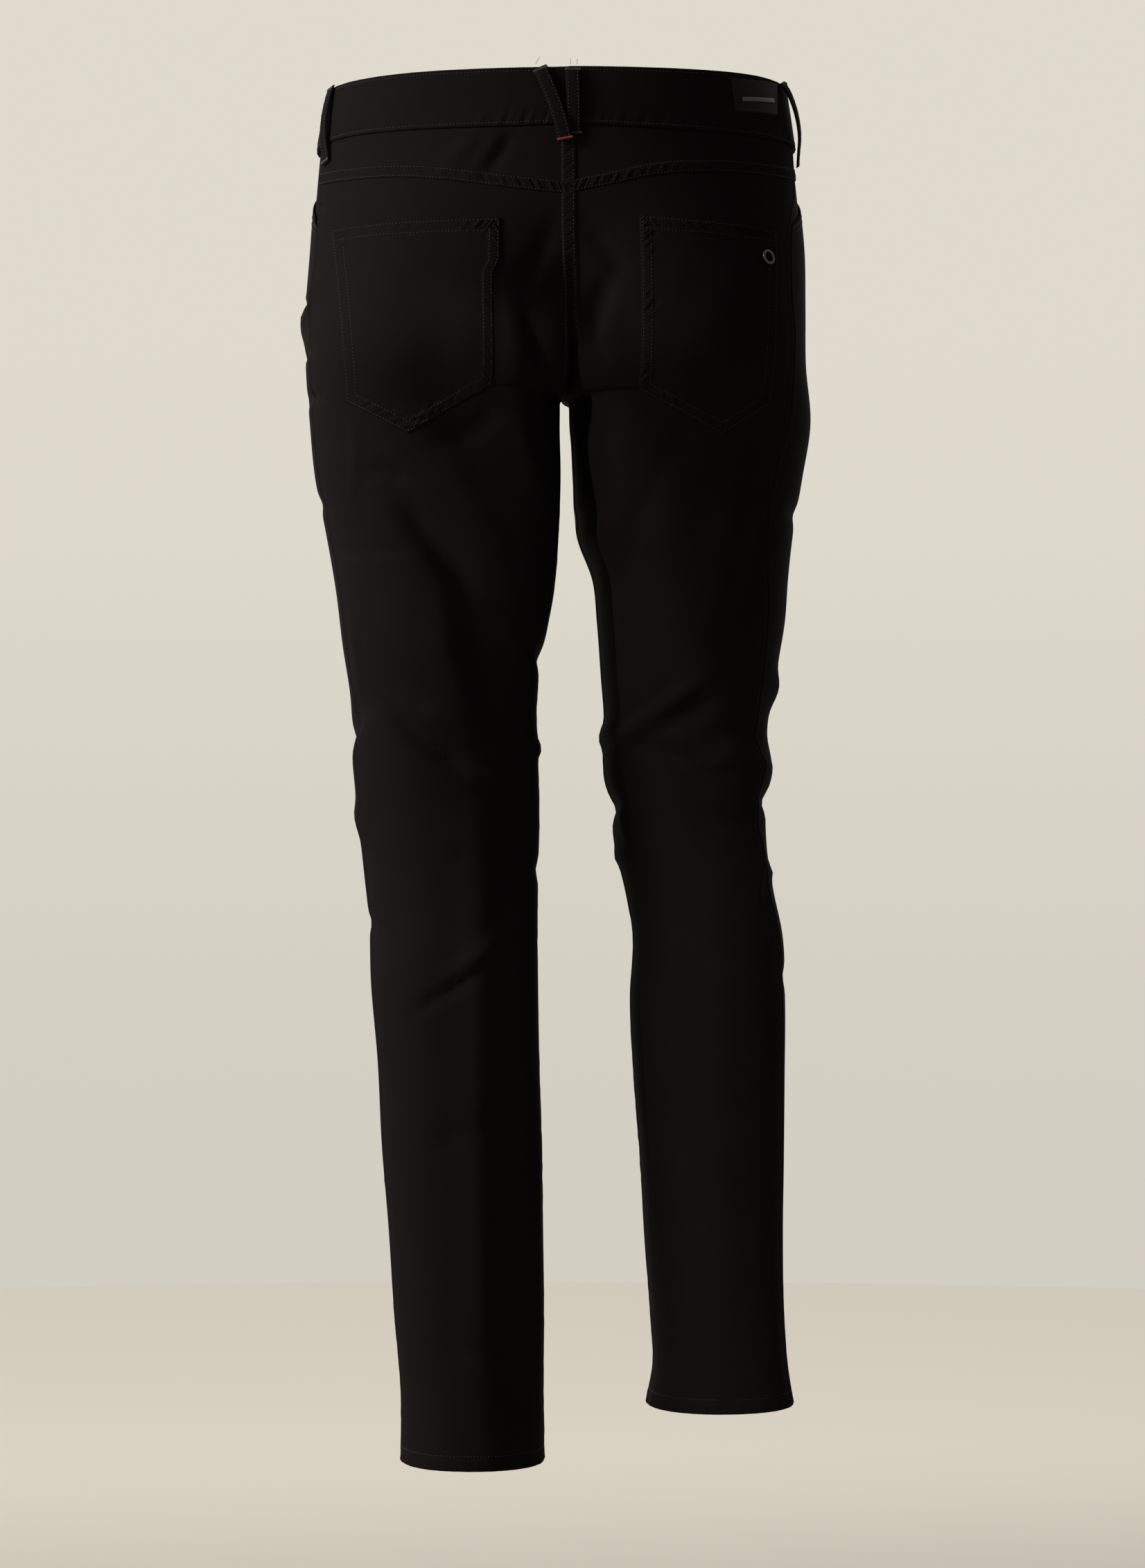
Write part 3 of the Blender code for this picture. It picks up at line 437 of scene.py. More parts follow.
def section(side, angle, level):
    """Points of one leg's ring without folds. The angle is 0 at the outer side and a half turn at the inner
    one, back positive. Above the crotch the ring is half of the torso and ends on the centre seam."""
    outer, inner, back, front = (smooth(LEGS[side], column, level) for column in (1, 2, 3, 4))
    middle, half_width = (outer + inner) / 2, (outer - inner) / 2
    cosine, sine = np.cos(angle), np.abs(np.sin(angle))
    across = np.sign(cosine) * np.abs(cosine) ** (2 / ROUNDNESS)
    swell = sine ** (2 / ROUNDNESS)
    x = middle + half_width * across + seam_shift(side, level) * ease(-across, ARCH_REACH, 1)
    behind = np.asarray(angle) >= 0
    far = np.where(behind, back, front)
    near = (back + front) / 2
    ring = near + (far - near) * swell
    torso_back, torso_front = smooth(TORSO, 1, level), smooth(TORSO, 2, level)
    centre = np.where(behind, torso_back, torso_front)
    torso_near = (torso_back + torso_front) / 2
    reach = np.clip(x / outer, 0, 1)
    oval = torso_near + (centre - torso_near) * (1 - reach**ROUNDNESS) ** (1 / ROUNDNESS)
    legness = ease(level, LEG_FROM, LEG_TO)
    inside = cosine < 0
    base = (1 - legness) * oval + legness * np.where(inside, far, ring)
    drop = np.clip((SEAT_CURVE_TOP - level) / (SEAT_CURVE_TOP - CROTCH_LEVEL), 0, 1)
    seam_depth = np.where(behind, smooth(CENTRE_SEAM, 2, level), smooth(CENTRE_SEAM, 3, level))
    curve = CROTCH_DEPTH + (seam_depth - CROTCH_DEPTH) * np.sqrt(1 - drop**2)
    inseam = CROTCH_DEPTH + (near - CROTCH_DEPTH) * ease(level, CROTCH_LEVEL, CROTCH_LEVEL - INSEAM_SETTLE)
    end = np.where(level > CROTCH_LEVEL, curve, inseam)
    crease = 2 + (1 / ROUNDNESS - 2) * ease(level, CREASE_FROM, CREASE_TO)
    gone = 1 - np.clip(1 - np.abs(across) ** ROUNDNESS, 0, 1) ** crease
    pull = end - (1 - legness) * centre - legness * far
    return side * x, base + np.where(inside, pull * gone, 0)


def seam_shift(side, level):
    """How far the inner end of a ring is moved from the leg's own inner side: to the centre seam above the
    crotch, and round a small arch below it."""
    inner = smooth(LEGS[side], 2, level)
    seam = side * smooth(CENTRE_SEAM, 1, level)
    arch = np.clip((CROTCH_LEVEL - level) / ARCH_HEIGHT, 0, 1)
    rounded = seam + ARCH_HALF_WIDTH * np.sqrt(1 - (1 - arch) ** 2)
    settled = ease(level, CROTCH_LEVEL - ARCH_HEIGHT, CROTCH_LEVEL - ARCH_FADE)
    return np.where(level > CROTCH_LEVEL, seam, rounded + settled * (inner - rounded)) - inner


def fold_height(side, points, facing):
    """Height of the soft ridges and troughs at points of one leg. Across its bent line each falls off as a
    bell curve, and along it the height swells in and dies out at the ends."""
    height = np.zeros(points.shape[:-1])
    for leg, seen, x0, z0, x1, z1, x2, z2, width, rise, lean in FOLDS + CREASES:
        if leg != side:
            continue
        start, bend, end = np.array(((x0, z0), (x1, z1), (x2, z2)), float) * MM
        length = np.linalg.norm(end - start)
        along = (end - start) / length
        beside = np.array((-along[1], along[0])) * (1 if along[0] >= 0 else -1)
        across = points[..., 1] if seen in ("OUT", "IN") else points[..., 0]
        offset = np.stack((across, points[..., 2]), -1) - start
        run = offset @ along
        t = np.clip(run / length, 0, 1)
        away = offset @ beside - 2 * t * (1 - t) * ((bend - start) @ beside)
        spread = width * MM * np.where(away > 0, 1, lean)
        swell = 0.3 + 0.7 * ease(np.minimum(t, 1 - t), 0, 0.3)
        share = ease(facing[seen], *FOLD_FACING)
        height += rise * MM * swell * bell(away, spread) * bell(run - t * length, width * MM) * share
    return height


def cloth_point(side, angle, level):
    """Points of the outer face with its folds."""
    angle = np.clip(angle, -math.pi, math.pi)
    x, y = section(side, angle, level)
    before = section(side, np.clip(angle - TURN, -math.pi, math.pi), level)
    after = section(side, np.clip(angle + TURN, -math.pi, math.pi), level)
    along = np.stack((after[0] - before[0], after[1] - before[1]), -1)
    along /= np.linalg.norm(along, axis=-1, keepdims=True)
    out_x, out_y = side * along[..., 1], -side * along[..., 0]
    points = np.stack((x, y, level + 0 * x), -1)
    facing = {"BACK": out_y, "FRONT": -out_y, "OUT": side * out_x, "IN": -side * out_x}
    height = fold_height(side, points, facing)
    points[..., 0] += out_x * height
    points[..., 1] += out_y * height
    return points


def leg_surface(side, angle, level):
    """Points and outward normals of one side's cloth."""
    angle, level = np.broadcast_arrays(np.asarray(angle, float), np.asarray(level, float))
    along = cloth_point(side, angle + TURN, level) - cloth_point(side, angle - TURN, level)
    up = cloth_point(side, angle, level + RISE) - cloth_point(side, angle, level - RISE)
    normal = np.cross(along, up) * side
    normal /= np.linalg.norm(normal, axis=-1, keepdims=True)
    return cloth_point(side, angle, level), normal


def surface(side, angle, level):
    """Points and outward normals where the side may change from place to place."""
    side, angle, level = np.broadcast_arrays(side, np.asarray(angle, float), np.asarray(level, float))
    points, normals = leg_surface(LEFT, angle, level)
    if (side == RIGHT).any():
        other = leg_surface(RIGHT, angle, level)
        right = (side == RIGHT)[..., None]
        points, normals = np.where(right, other[0], points), np.where(right, other[1], normals)
    return points, normals


def ring_angle(side, x, level, face):
    """Ring angle at which a leg's section has this sideways place, on its back or its front."""
    outer, inner = smooth(LEGS[side], 1, level), smooth(LEGS[side], 2, level)
    share = (side * x - (outer + inner) / 2) / ((outer - inner) / 2)
    target = share
    for _ in range(PASSES):
        share = target - seam_shift(side, level) * ease(-share, ARCH_REACH, 1) / ((outer - inner) / 2)
    share = np.clip(share, -1, 1)
    return face * np.arccos(np.sign(share) * np.abs(share) ** (ROUNDNESS / 2))


def placed(x, level, face):
    """Side, ring angle and level of places seen from behind or in front, given in millimetres."""
    x, level = np.broadcast_arrays(np.asarray(x, float) * MM, np.asarray(level, float) * MM)
    angle = np.where(x > 0, ring_angle(LEFT, x, level, face), ring_angle(RIGHT, x, level, face))
    return np.where(x > 0, LEFT, RIGHT), angle, level


def of_side(side, table, column, place):
    """Value at a place from a table's column for the left side, or from the next column for the right."""
    return np.where(side == LEFT, smooth(table, column, place), smooth(table, column + 1, place))


def side_seam(side, level):
    """Ring angle of a leg's side seam at a level."""
    return np.radians(of_side(side, SIDE_SEAM, 1, level))


def band_seam(side, angle):
    """Level of the waistband's lower edge at a ring angle."""
    return of_side(side, BAND_LINES, 1, angle)


def band_top(side, angle):
    """Level of the waistband's top edge at a ring angle."""
    return of_side(side, BAND_LINES, 3, angle)


def yoke_line(side, angle):
    """Level of the back yoke's lower seam at a ring angle."""
    return of_side(side, YOKE_SEAM, 1, angle)


def hem_line(side, angle):
    """Level of a hem at a ring angle: a slant from back to front, as a sine of the turn."""
    back, front = HEM[side]
    return (back + front) / 2 + (back - front) / 2 * np.sin(angle)


def corner_angle(side, line):
    """Ring angle where a line round the waist meets the side seam."""
    angle = 0.0
    for _ in range(PASSES):
        angle = float(side_seam(side, line(side, angle)))
    return angle


def shares(count, crowding):
    """Steps from 0 to 1 that are closer together near both ends."""
    t = np.linspace(0, 1, count)
    return t - crowding * np.sin(2 * math.pi * t) / (2 * math.pi)


def arcs(points):
    """Distance along each row and down each column of a grid of points."""
    across = np.linalg.norm(np.diff(points, axis=1), axis=-1)
    down = np.linalg.norm(np.diff(points, axis=0), axis=-1)
    along_row = np.concatenate((np.zeros((len(points), 1)), np.cumsum(across, 1)), 1)
    along_column = np.concatenate((np.zeros((1, points.shape[1])), np.cumsum(down, 0)), 0)
    return along_row, along_column


def run_along(path):
    """Distance along a path at each of its points."""
    return np.concatenate(([0], np.cumsum(np.linalg.norm(np.diff(path, axis=0), axis=-1))))


def raised(points, normals, height):
    """Points moved along their normals, all by one height or each by its own."""
    return points + normals * np.asarray(height)[..., None]


def rolled(distance, radius):
    """1 inside, falling to 0 at the edge as a quarter circle."""
    t = 1 - np.clip(distance / radius, 0, 1)
    return np.sqrt(np.clip(1 - t * t, 0, 1))


def linked(name, data):
    """A new object in the scene for a mesh, a curve, a light or a camera."""
    item = bpy.data.objects.new(name, data)
    bpy.context.scene.collection.objects.link(item)
    return item


def on_frame(piece, key, node=None):
    """Give a piece its material and slot, let it stand for a node, and let it ride on the frame."""
    piece.data.materials.append(material_for(key))
    if node:
        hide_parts(node)
    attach(piece, "root")
    return piece


def made(name, points, faces, key, node=None, uv=None):
    """A piece from arrays, with its cut laid out in a UV map in metres."""
    mesh = bpy.data.meshes.new(name)
    mesh.from_pydata(points.reshape(-1, 3).tolist(), [], faces)
    if uv is not None:
        corners = np.empty(len(mesh.loops), int)
        mesh.loops.foreach_get("vertex_index", corners)
        mesh.uv_layers.new(name="cut").uv.foreach_set("vector", uv[corners].ravel())
    mesh.shade_smooth()
    return on_frame(linked(name, mesh), key, node)


def shell(name, outer, inner, key, node=None):
    """A closed wall between an outer and an inner grid of points, facing out on every side."""
    rows, columns = outer.shape[:2]
    number = np.arange(rows * columns).reshape(rows, columns)
    corners = (number[:-1, :-1], number[:-1, 1:], number[1:, 1:], number[1:, :-1])
    quads = np.stack(corners, -1).reshape(-1, 4)
    edge = np.concatenate((number[0], number[1:, -1], number[-1, -2::-1], number[-2:0:-1, 0]))
    following = np.roll(edge, -1)
    rim = np.stack((following, edge, edge + rows * columns, following + rows * columns), -1)
    faces = np.concatenate((quads, quads[:, ::-1] + rows * columns, rim))
    turned_out = np.cross(outer[:-1, 1:] - outer[:-1, :-1], outer[1:, :-1] - outer[:-1, :-1])
    if (turned_out * (outer - inner)[:-1, :-1]).sum() < 0:
        faces = faces[:, ::-1]
    uv = np.tile(np.stack(arcs(outer), -1).reshape(-1, 2), (2, 1))
    return made(name, np.stack((outer, inner)), faces.tolist(), key, node, uv)


def outer_area(grid):
    """Width, length and area of the cloth in a grid."""
    row, column = arcs(grid)
    first, second = grid[1:, 1:] - grid[:-1, :-1], grid[1:, :-1] - grid[:-1, 1:]
    area = np.linalg.norm(np.cross(first, second), axis=-1).sum() / 2
    return float(row[:, -1].max()), float(column[-1].max()), float(area)


def declared(piece, grid):
    """Width, length and area of a sheet's outer grid, the area at most width times length. Nothing further is
    done with them or with the sheet.
    """
    width, length, area = outer_area(grid)
    area = min(area, width * length)


def cloth(name, outer, inner):
    """A piece of twill that stands for the node of its own name."""
    declared(shell(name, outer, inner, "twill", name), outer)


def thread_rows(name, rows, length, gap, radius, key="thread"):
    """Stitches along paths on the cloth, joined in one object. Each is a short tube whose ends dive into the
    cloth. A row is its path's points and the cloth's normals there."""
    rings, sides = 5, 5
    turn = np.arange(sides) / sides * 2 * math.pi
    shape = np.array((0.45, 0.9, 1, 0.9, 0.45))
    lift = np.array((-0.55, 0.35, 0.75, 0.35, -0.55))
    wander = np.random.default_rng(THREAD_SEED)
    tubes = []
    for path, normals in rows:
        run = run_along(path)
        count = max(int(round(run[-1] / (length + gap))), 1)
        pitch = run[-1] / count
        start = (np.arange(count) + 0.5) * pitch - length / 2 * wander.uniform(0.9, 1.08, count)
        place = start[:, None] + np.linspace(0, length, rings)
        centre = np.stack([np.interp(place, run, path[:, k]) for k in range(3)], -1)
        normal = np.stack([np.interp(place, run, normals[:, k]) for k in range(3)], -1)
        normal /= np.linalg.norm(normal, axis=-1, keepdims=True)
        forward = np.gradient(centre, axis=1)
        beside = np.cross(normal, forward)
        beside /= np.linalg.norm(beside, axis=-1, keepdims=True)
        centre = centre + normal * (lift * radius)[None, :, None]
        centre += beside * wander.uniform(-0.12, 0.12, (count, 1, 1)) * MM
        reach = (radius * shape)[None, :, None, None]
        ring = np.cos(turn)[:, None] * normal[:, :, None] + np.sin(turn)[:, None] * beside[:, :, None]
        tubes.append(centre[:, :, None] + reach * ring)
    points = np.concatenate(tubes)
    number = np.arange(points.shape[0] * rings * sides).reshape(-1, rings, sides)
    following = np.roll(number, -1, 2)
    corners = (number[:, :-1], number[:, 1:], following[:, 1:], following[:, :-1])
    walls = np.stack(corners, -1).reshape(-1, 4)
    faces = walls.tolist() + number[:, 0].tolist() + number[:, -1, ::-1].tolist()
    made(name, points, faces, key)


def seam_path(side, angle, level, out):
    """A path on the cloth, or a little above it, with the cloth's normals."""
    points, normals = surface(side, angle, level)
    return raised(points, normals, out), normals


def outline_grid(outline, rows, columns, crowding=0.75):
    """A grid across and down between a top edge and a bottom edge, which are bent lines, in millimetres."""
    top, bottom = (np.array(line, float) for line in outline)
    span = (bottom[:, 0] - bottom[0, 0]) / (bottom[-1, 0] - bottom[0, 0])
    u = np.sort(np.concatenate((shares(columns, crowding), span[1:-1])))
    v = shares(rows, crowding)[:, None]
    upper = np.stack([np.interp(u, np.linspace(0, 1, len(top)), top[:, k]) for k in (0, 1)], -1)
    lower = np.stack([np.interp(u, span, bottom[:, k]) for k in (0, 1)], -1)
    return upper[None] * (1 - v[..., None]) + lower[None] * v[..., None]


def outline_sides(outline):
    """Each side of an outline: its first corner, its direction and the direction inward from it."""
    top, bottom = (np.array(line, float) for line in outline)
    corners = np.concatenate((top, bottom[::-1]))
    middle = corners.mean(0)
    sides = []
    for this, following in zip(corners, np.roll(corners, -1, 0)):
        along = (following - this) / np.linalg.norm(following - this)
        beside = np.array((-along[1], along[0]))
        sides.append((this, along, beside * np.sign((middle - this) @ beside)))
    return sides


def outline_edges(outline, places):
    """Distance in millimetres of places from an outline's nearest edge and from its top edge, and the run
    along the nearest one, which starts from another value on each edge."""
    sides = outline_sides(outline)
    away = np.stack([(places - corner) @ inward for corner, along, inward in sides], -1)
    runs = np.stack([(places - corner) @ along for corner, along, inward in sides], -1)
    nearest = away.argmin(-1)
    run = np.take_along_axis(runs, nearest[..., None], -1)[..., 0]
    edge, top = (np.clip(distance, 0, None) for distance in (away.min(-1), away[..., 0]))
    return edge, top, run + EDGE_START * nearest


def pinched(side, places):
    """Places on a back pocket, in millimetres. Below its top hem the left one's inner edge is drawn in."""
    x, level = places[..., 0], places[..., 1]
    drawn = ease(-level, 136, 148) * (1 - 0.5 * ease(-level, 150, 222))
    shift = POCKET_DRAWN_IN * drawn * np.clip((110 - x) / 60, 0, 1) if side == LEFT else 0
    return np.stack((x + shift, level), -1)


def inset_outline(outline, inset):
    """Corners of an outline moved in by a distance, in millimetres: each is where two moved sides cross."""
    lines = [(corner + inward * inset, along) for corner, along, inward in outline_sides(outline)]
    moved = []
    for (p, d), (q, e) in zip([lines[-1]] + lines[:-1], lines):
        s = np.linalg.solve(np.stack((d, -e), 1), q - p)
        moved.append(p + d * s[0])
    return np.array(moved)


def flat_path(places, face, out, pocket_side=0):
    """A path on the cloth through places in millimetres, sampled about every millimetre."""
    places = np.asarray(places, float)
    run = run_along(places)
    s = np.linspace(0, run[-1], max(int(run[-1]), 2) + 1)
    path = np.stack([np.interp(s, run, places[:, k]) for k in (0, 1)], -1)
    if pocket_side:
        path = pinched(pocket_side, path)
    return seam_path(*placed(path[:, 0], path[:, 1], face), out)


def on_panel(places, face, top, under):
    """Outer and inner grids of a piece laid on the cloth, from its places and heights in millimetres."""
    points, normals = surface(*placed(places[..., 0], places[..., 1], face))
    return raised(points, normals, top * MM), raised(points, normals, under * MM)


def revolved(profile, steps, closed=False):
    """A profile of radius and height turned round Z: its points, and the faces between its rows. A closed
    profile's last row also meets its first."""
    profile = np.array(profile, float)
    angle = np.arange(steps) / steps * 2 * math.pi
    radius, height = profile[:, :1], np.repeat(profile[:, 1:], steps, 1)
    points = np.stack((radius * np.cos(angle), radius * np.sin(angle), height), -1)
    number = np.arange(len(profile) * steps).reshape(-1, steps)
    above = np.roll(number, -1, 0)
    faces = np.stack((number, np.roll(number, -1, 1), np.roll(above, -1, 1), above), -1)
    return points, (faces if closed else faces[:-1]).reshape(-1, 4).tolist()


# Materials


def node_material(name, colour, roughness, metallic=0.0):
    """A material of one colour and finish, with its node tree and its main shader."""
    material = bpy.data.materials.new(name)
    material.use_nodes = True
    shader = material.node_tree.nodes["Principled BSDF"]
    shader.inputs["Base Color"].default_value = (*colour, 1)
    shader.inputs["Roughness"].default_value = roughness
    shader.inputs["Metallic"].default_value = metallic
    return material, material.node_tree, shader


def add_node(tree, kind, values=None, feeds=None, **options):
    """A shader node with these options and input values, fed by the outputs of other nodes."""
    node = tree.nodes.new("ShaderNode" + kind)
    for option, value in options.items():
        setattr(node, option, value)
    for socket, value in (values or {}).items():
        node.inputs[socket].default_value = value
    for socket, output in (feeds or {}).items():
        tree.links.new(output, node.inputs[socket])
    return node


def object_place(tree):
    """A pattern's feed from the piece's own coordinates."""
    return {"Vector": add_node(tree, "TexCoord").outputs["Object"]}


def bumped(tree, height, strength, depth, under=None):
    """A normal roughened by a pattern, on top of the one under it."""
    node = add_node(tree, "Bump", {"Strength": strength, "Distance": depth}, {"Height": height})
    if under:
        tree.links.new(under, node.inputs["Normal"])
    return node.outputs["Normal"]


def twill_material(name, settings):
    """Black stretch twill: fine slanted ribs on the cut's own map, a soft mottle in the dye and a dry, low
    sheen."""
    material, tree, shader = node_material(name, settings.cloth_colour, 0.82)
    shader.inputs["Specular IOR Level"].default_value = 0.02
    uv = add_node(tree, "UVMap", uv_map="cut").outputs["UV"]
    slanted = add_node(tree, "Mapping", {"Rotation": (0, 0, RIB_SLANT)}, {"Vector": uv}).outputs["Vector"]
    rib = {"Scale": WAVE_PITCH / settings.rib_pitch, "Distortion": 0.6, "Detail": 1, "Detail Scale": 2}
    ribs = add_node(tree, "TexWave", rib, {"Vector": slanted})
    place = object_place(tree)
    slub = add_node(tree, "TexNoise", {"Scale": 900, "Detail": 2}, place)
    mottle = add_node(tree, "TexNoise", {"Scale": 22, "Detail": 4}, place)
    tone = add_node(tree, "MapRange", {"To Min": 0.86, "To Max": 1.14}, {"Value": mottle.outputs["Fac"]})
    depth = {"Scale": tone.outputs["Result"]}
    dye = add_node(tree, "VectorMath", {0: settings.cloth_colour}, depth, operation="SCALE")
    weave = bumped(tree, ribs.outputs["Fac"], 0.22, 0.12 * MM)
    grain = bumped(tree, slub.outputs["Fac"], 0.2, 0.15 * MM, weave)
    tree.links.new(dye.outputs["Vector"], shader.inputs["Base Color"])
    tree.links.new(grain, shader.inputs["Normal"])
    return material


def thread_material(name, colour):
    """Twisted sewing thread with a slight gloss."""
    material, tree, shader = node_material(name, colour, 0.55)
    ply = add_node(tree, "TexNoise", {"Scale": 2400}, object_place(tree))
    tree.links.new(bumped(tree, ply.outputs["Fac"], 0.4, 0.08 * MM), shader.inputs["Normal"])
    return material


def leather_material(name):
    """Fine-grained black leather."""
    material, tree, shader = node_material(name, LEATHER_COLOUR, 0.62)
    shader.inputs["Specular IOR Level"].default_value = 0.12
    grain = add_node(tree, "TexVoronoi", {"Scale": 1100}, object_place(tree))
    tree.links.new(bumped(tree, grain.outputs["Distance"], 0.35, 0.1 * MM), shader.inputs["Normal"])
    return material


def metal_material(name, colour):
    """Dulled metal: fine scratches run across it and its polish varies a little."""
    material, tree, shader = node_material(name, colour, METAL_ROUGHNESS, 1.0)
    stretched = add_node(tree, "Mapping", {"Scale": (300, 300, 4000)}, object_place(tree))
    brush = add_node(tree, "TexNoise", {"Scale": 1}, {"Vector": stretched.outputs["Vector"]})
    polish_range = {"To Min": METAL_ROUGHNESS - 0.08, "To Max": METAL_ROUGHNESS + 0.14}
    polish = add_node(tree, "MapRange", polish_range, {"Value": brush.outputs["Fac"]})
    tree.links.new(polish.outputs["Result"], shader.inputs["Roughness"])
    return material


def material_for(key):
    """The garment's materials, each made once."""
    name = "garment_" + key
    settings = bpy.context.scene.trousers
    makers = {
        "twill": lambda: twill_material(name, settings),
        "thread": lambda: thread_material(name, settings.thread_colour),
        "red_thread": lambda: thread_material(name, RED_THREAD_COLOUR),
        "leather": lambda: leather_material(name),
        "steel": lambda: metal_material(name, STEEL_COLOUR),
        "dark_metal": lambda: metal_material(name, DARK_METAL_COLOUR),
    }
    return bpy.data.materials.get(name) or makers[key]()


# Pieces


def panel_places(side, face):
    """Ring angles and levels of a front or back panel, closer together at its seams and its hem."""
    share = shares(PANEL_COLUMNS, 0.7)
    line = yoke_line if face == BEHIND else band_seam
    corner = corner_angle(side, line)
    angles = np.repeat((corner + (face * math.pi - corner) * share)[None, :], 2, 0)
    rows_above, rows_below = PANEL_ROWS
    fall = 1 - (1 - shares(rows_above, 0.4)) ** 1.6
    tail = 1 - shares(rows_below, 0.6)
    for _ in range(PASSES):
        top, bottom = line(side, angles[0])[None, :], hem_line(side, angles[-1])[None, :]
        above = top + (CROTCH_LEVEL - top) * fall[:, None]
        below = bottom + (CROTCH_LEVEL - bottom) * tail[1:, None]
        levels = np.concatenate((above, below))
        first = side_seam(side, levels[:, :1])
        angles = first + (face * math.pi - first) * share
    return angles, levels


def lapped(points):
    """The same sheet with both side edges carried a little further, so that neighbours meet with no slit."""
    points = points.copy()
    for edge, before in ((0, 1), (-1, -2)):
        step = points[:, edge] - points[:, before]
        points[:, edge] += SIDE_LAP * step / np.linalg.norm(step, axis=1, keepdims=True)
    return points


def pressed(seam, top):
    """How far the cloth is pressed in along its side seams and its top seam."""
    return -0.5 * MM * bell(seam, SEAM_DENT) - 0.45 * MM * bell(top, 1.2 * MM)


def panel(context, side, word, face):
    """A leg panel as a thin wall. Its edges are pressed in along the seams, but not where the halves of the
    seat face each other. The hem is turned up inside and ropes a little, the seam allowances thicken the wall
    inside, and the seams draw the cloth into fine ripples."""
    thickness = context.scene.trousers.cloth_thickness
    angles, levels = panel_places(side, face)
    points, normals = leg_surface(side, angles, levels)
    points = lapped(points)
    row, column = arcs(points)
    seam = np.minimum(row, row[:, -1:] - row)
    hem = levels - levels[-1:]
    facing_in = np.abs(normals[:, -1:, 0]) * (levels[:, -1:] > CROTCH_LEVEL)
    out = pressed(seam, column) + 0.75 * MM * facing_in * bell(row[:, -1:] - row, SEAM_DENT)
    ripple = uneven(levels / (5.2 * MM), 3.0 + face) * (0.5 + 0.5 * uneven(levels / (41 * MM), 1.0))
    out += 0.3 * MM * ripple * bell(seam, 6 * MM) + 0.4 * MM * bell(seam - 3.2 * MM, 1.8 * MM)
    rope = uneven((row + 0.5 * hem) / (2.6 * MM), 5.0 + side) * (1 - ease(hem, 8 * MM, 13 * MM))
    out += 0.22 * MM * rope - 0.3 * MM * bell(hem - HEM_ROW, 0.9 * MM)
    out -= 0.5 * MM * (1 - rolled(hem, 0.8 * MM))
    wall = thickness + 0.7 * MM * (1 - ease(hem, HEM_TURN_UP, HEM_TURN_UP + 2 * MM))
    wall = wall + 0.6 * MM * (1 - ease(seam, 8 * MM, 10 * MM)) * ease(seam, 0.2 * MM, 1.5 * MM)
    outer, inner = raised(points, normals, out), raised(points, normals, out - wall)
    name = ("back_" if face == BEHIND else "front_") + word
    piece = shell(name, outer, inner, "twill", name)
    sewn = ["stitches_hem_" + word]
    if face == IN_FRONT:
        cut_pocket_mouth(piece, side)
        sewn = ["stitches_mouth_" + word]
    elif side == LEFT:
        centre_strip()
        sewn += ["seam_centre_back", "stitches_centre_back"]
    declared(piece, outer)


def cut_pocket_mouth(piece, side):
    """Cut away the front's upper outer corner along a straight slanted mouth, and close the cut edge."""
    low_angle, high_level = side_seam(side, MOUTH_END), band_seam(side, MOUTH_ANGLE)
    low = leg_surface(side, low_angle, MOUTH_END)[0]
    high = leg_surface(side, MOUTH_ANGLE, high_level)[0]
    outward = leg_surface(side, (low_angle + MOUTH_ANGLE) / 2, (MOUTH_END + high_level) / 2)[1]
    away = Vector(np.cross(high - low, outward))
    if away.z < 0:
        away.negate()
    work = bmesh.new()
    work.from_mesh(piece.data)
    everything = work.verts[:] + work.edges[:] + work.faces[:]
    cut = bmesh.ops.bisect_plane(work, geom=everything, plane_co=Vector(low), plane_no=away, clear_outer=True)
    rim = [item for item in cut["geom_cut"] if isinstance(item, bmesh.types.BMEdge)]
    bmesh.ops.contextual_create(work, geom=rim)
    work.to_mesh(piece.data)
    work.free()


def yoke(context, side, word):
    """The shaped strip between the waistband and the back panel, a little puckered under the band."""
    corner = corner_angle(side, yoke_line)
    share = shares(90, 0.6)
    angles = np.repeat((corner + (math.pi - corner) * share)[None, :], 2, 0)
    for _ in range(PASSES):
        top, bottom = band_seam(side, angles[0]), yoke_line(side, angles[-1])
        levels = top + (bottom - top) * shares(22, 0.5)[:, None]
        first = side_seam(side, levels[:, :1])
        angles = first + (math.pi - first) * share
    points, normals = leg_surface(side, angles, levels)
    row, column = arcs(points)
    pucker = uneven(row / (2.4 * MM), 2.0 + side) * bell(column, 7 * MM)
    outer = raised(points, normals, pressed(np.minimum(row, row[:, -1:] - row), column) + 0.14 * MM * pucker)
    inner = outer - normals * context.scene.trousers.cloth_thickness
    yoke_strip(side, "seam_yoke_" + word)
    cloth("back_yoke_" + word, outer, inner)


def facing(context, side, word):
    """The cloth seen inside the slanted pocket mouth, just behind the front."""
    start = side_seam(side, -130 * MM) + 0.08
    angles = np.repeat((start + (FACING_END - start) * shares(30, 0.3))[None, :], 26, 0)
    top = band_seam(side, angles[0])
    levels = top + 2.5 * MM + (-136.5 * MM - top) * shares(26, 0.3)[:, None]
    points, normals = leg_surface(side, angles, levels)
    outer = points - normals * (context.scene.trousers.cloth_thickness + 1.0 * MM)
    cloth("pocket_facing_" + word, outer, outer - normals * 0.7 * MM)


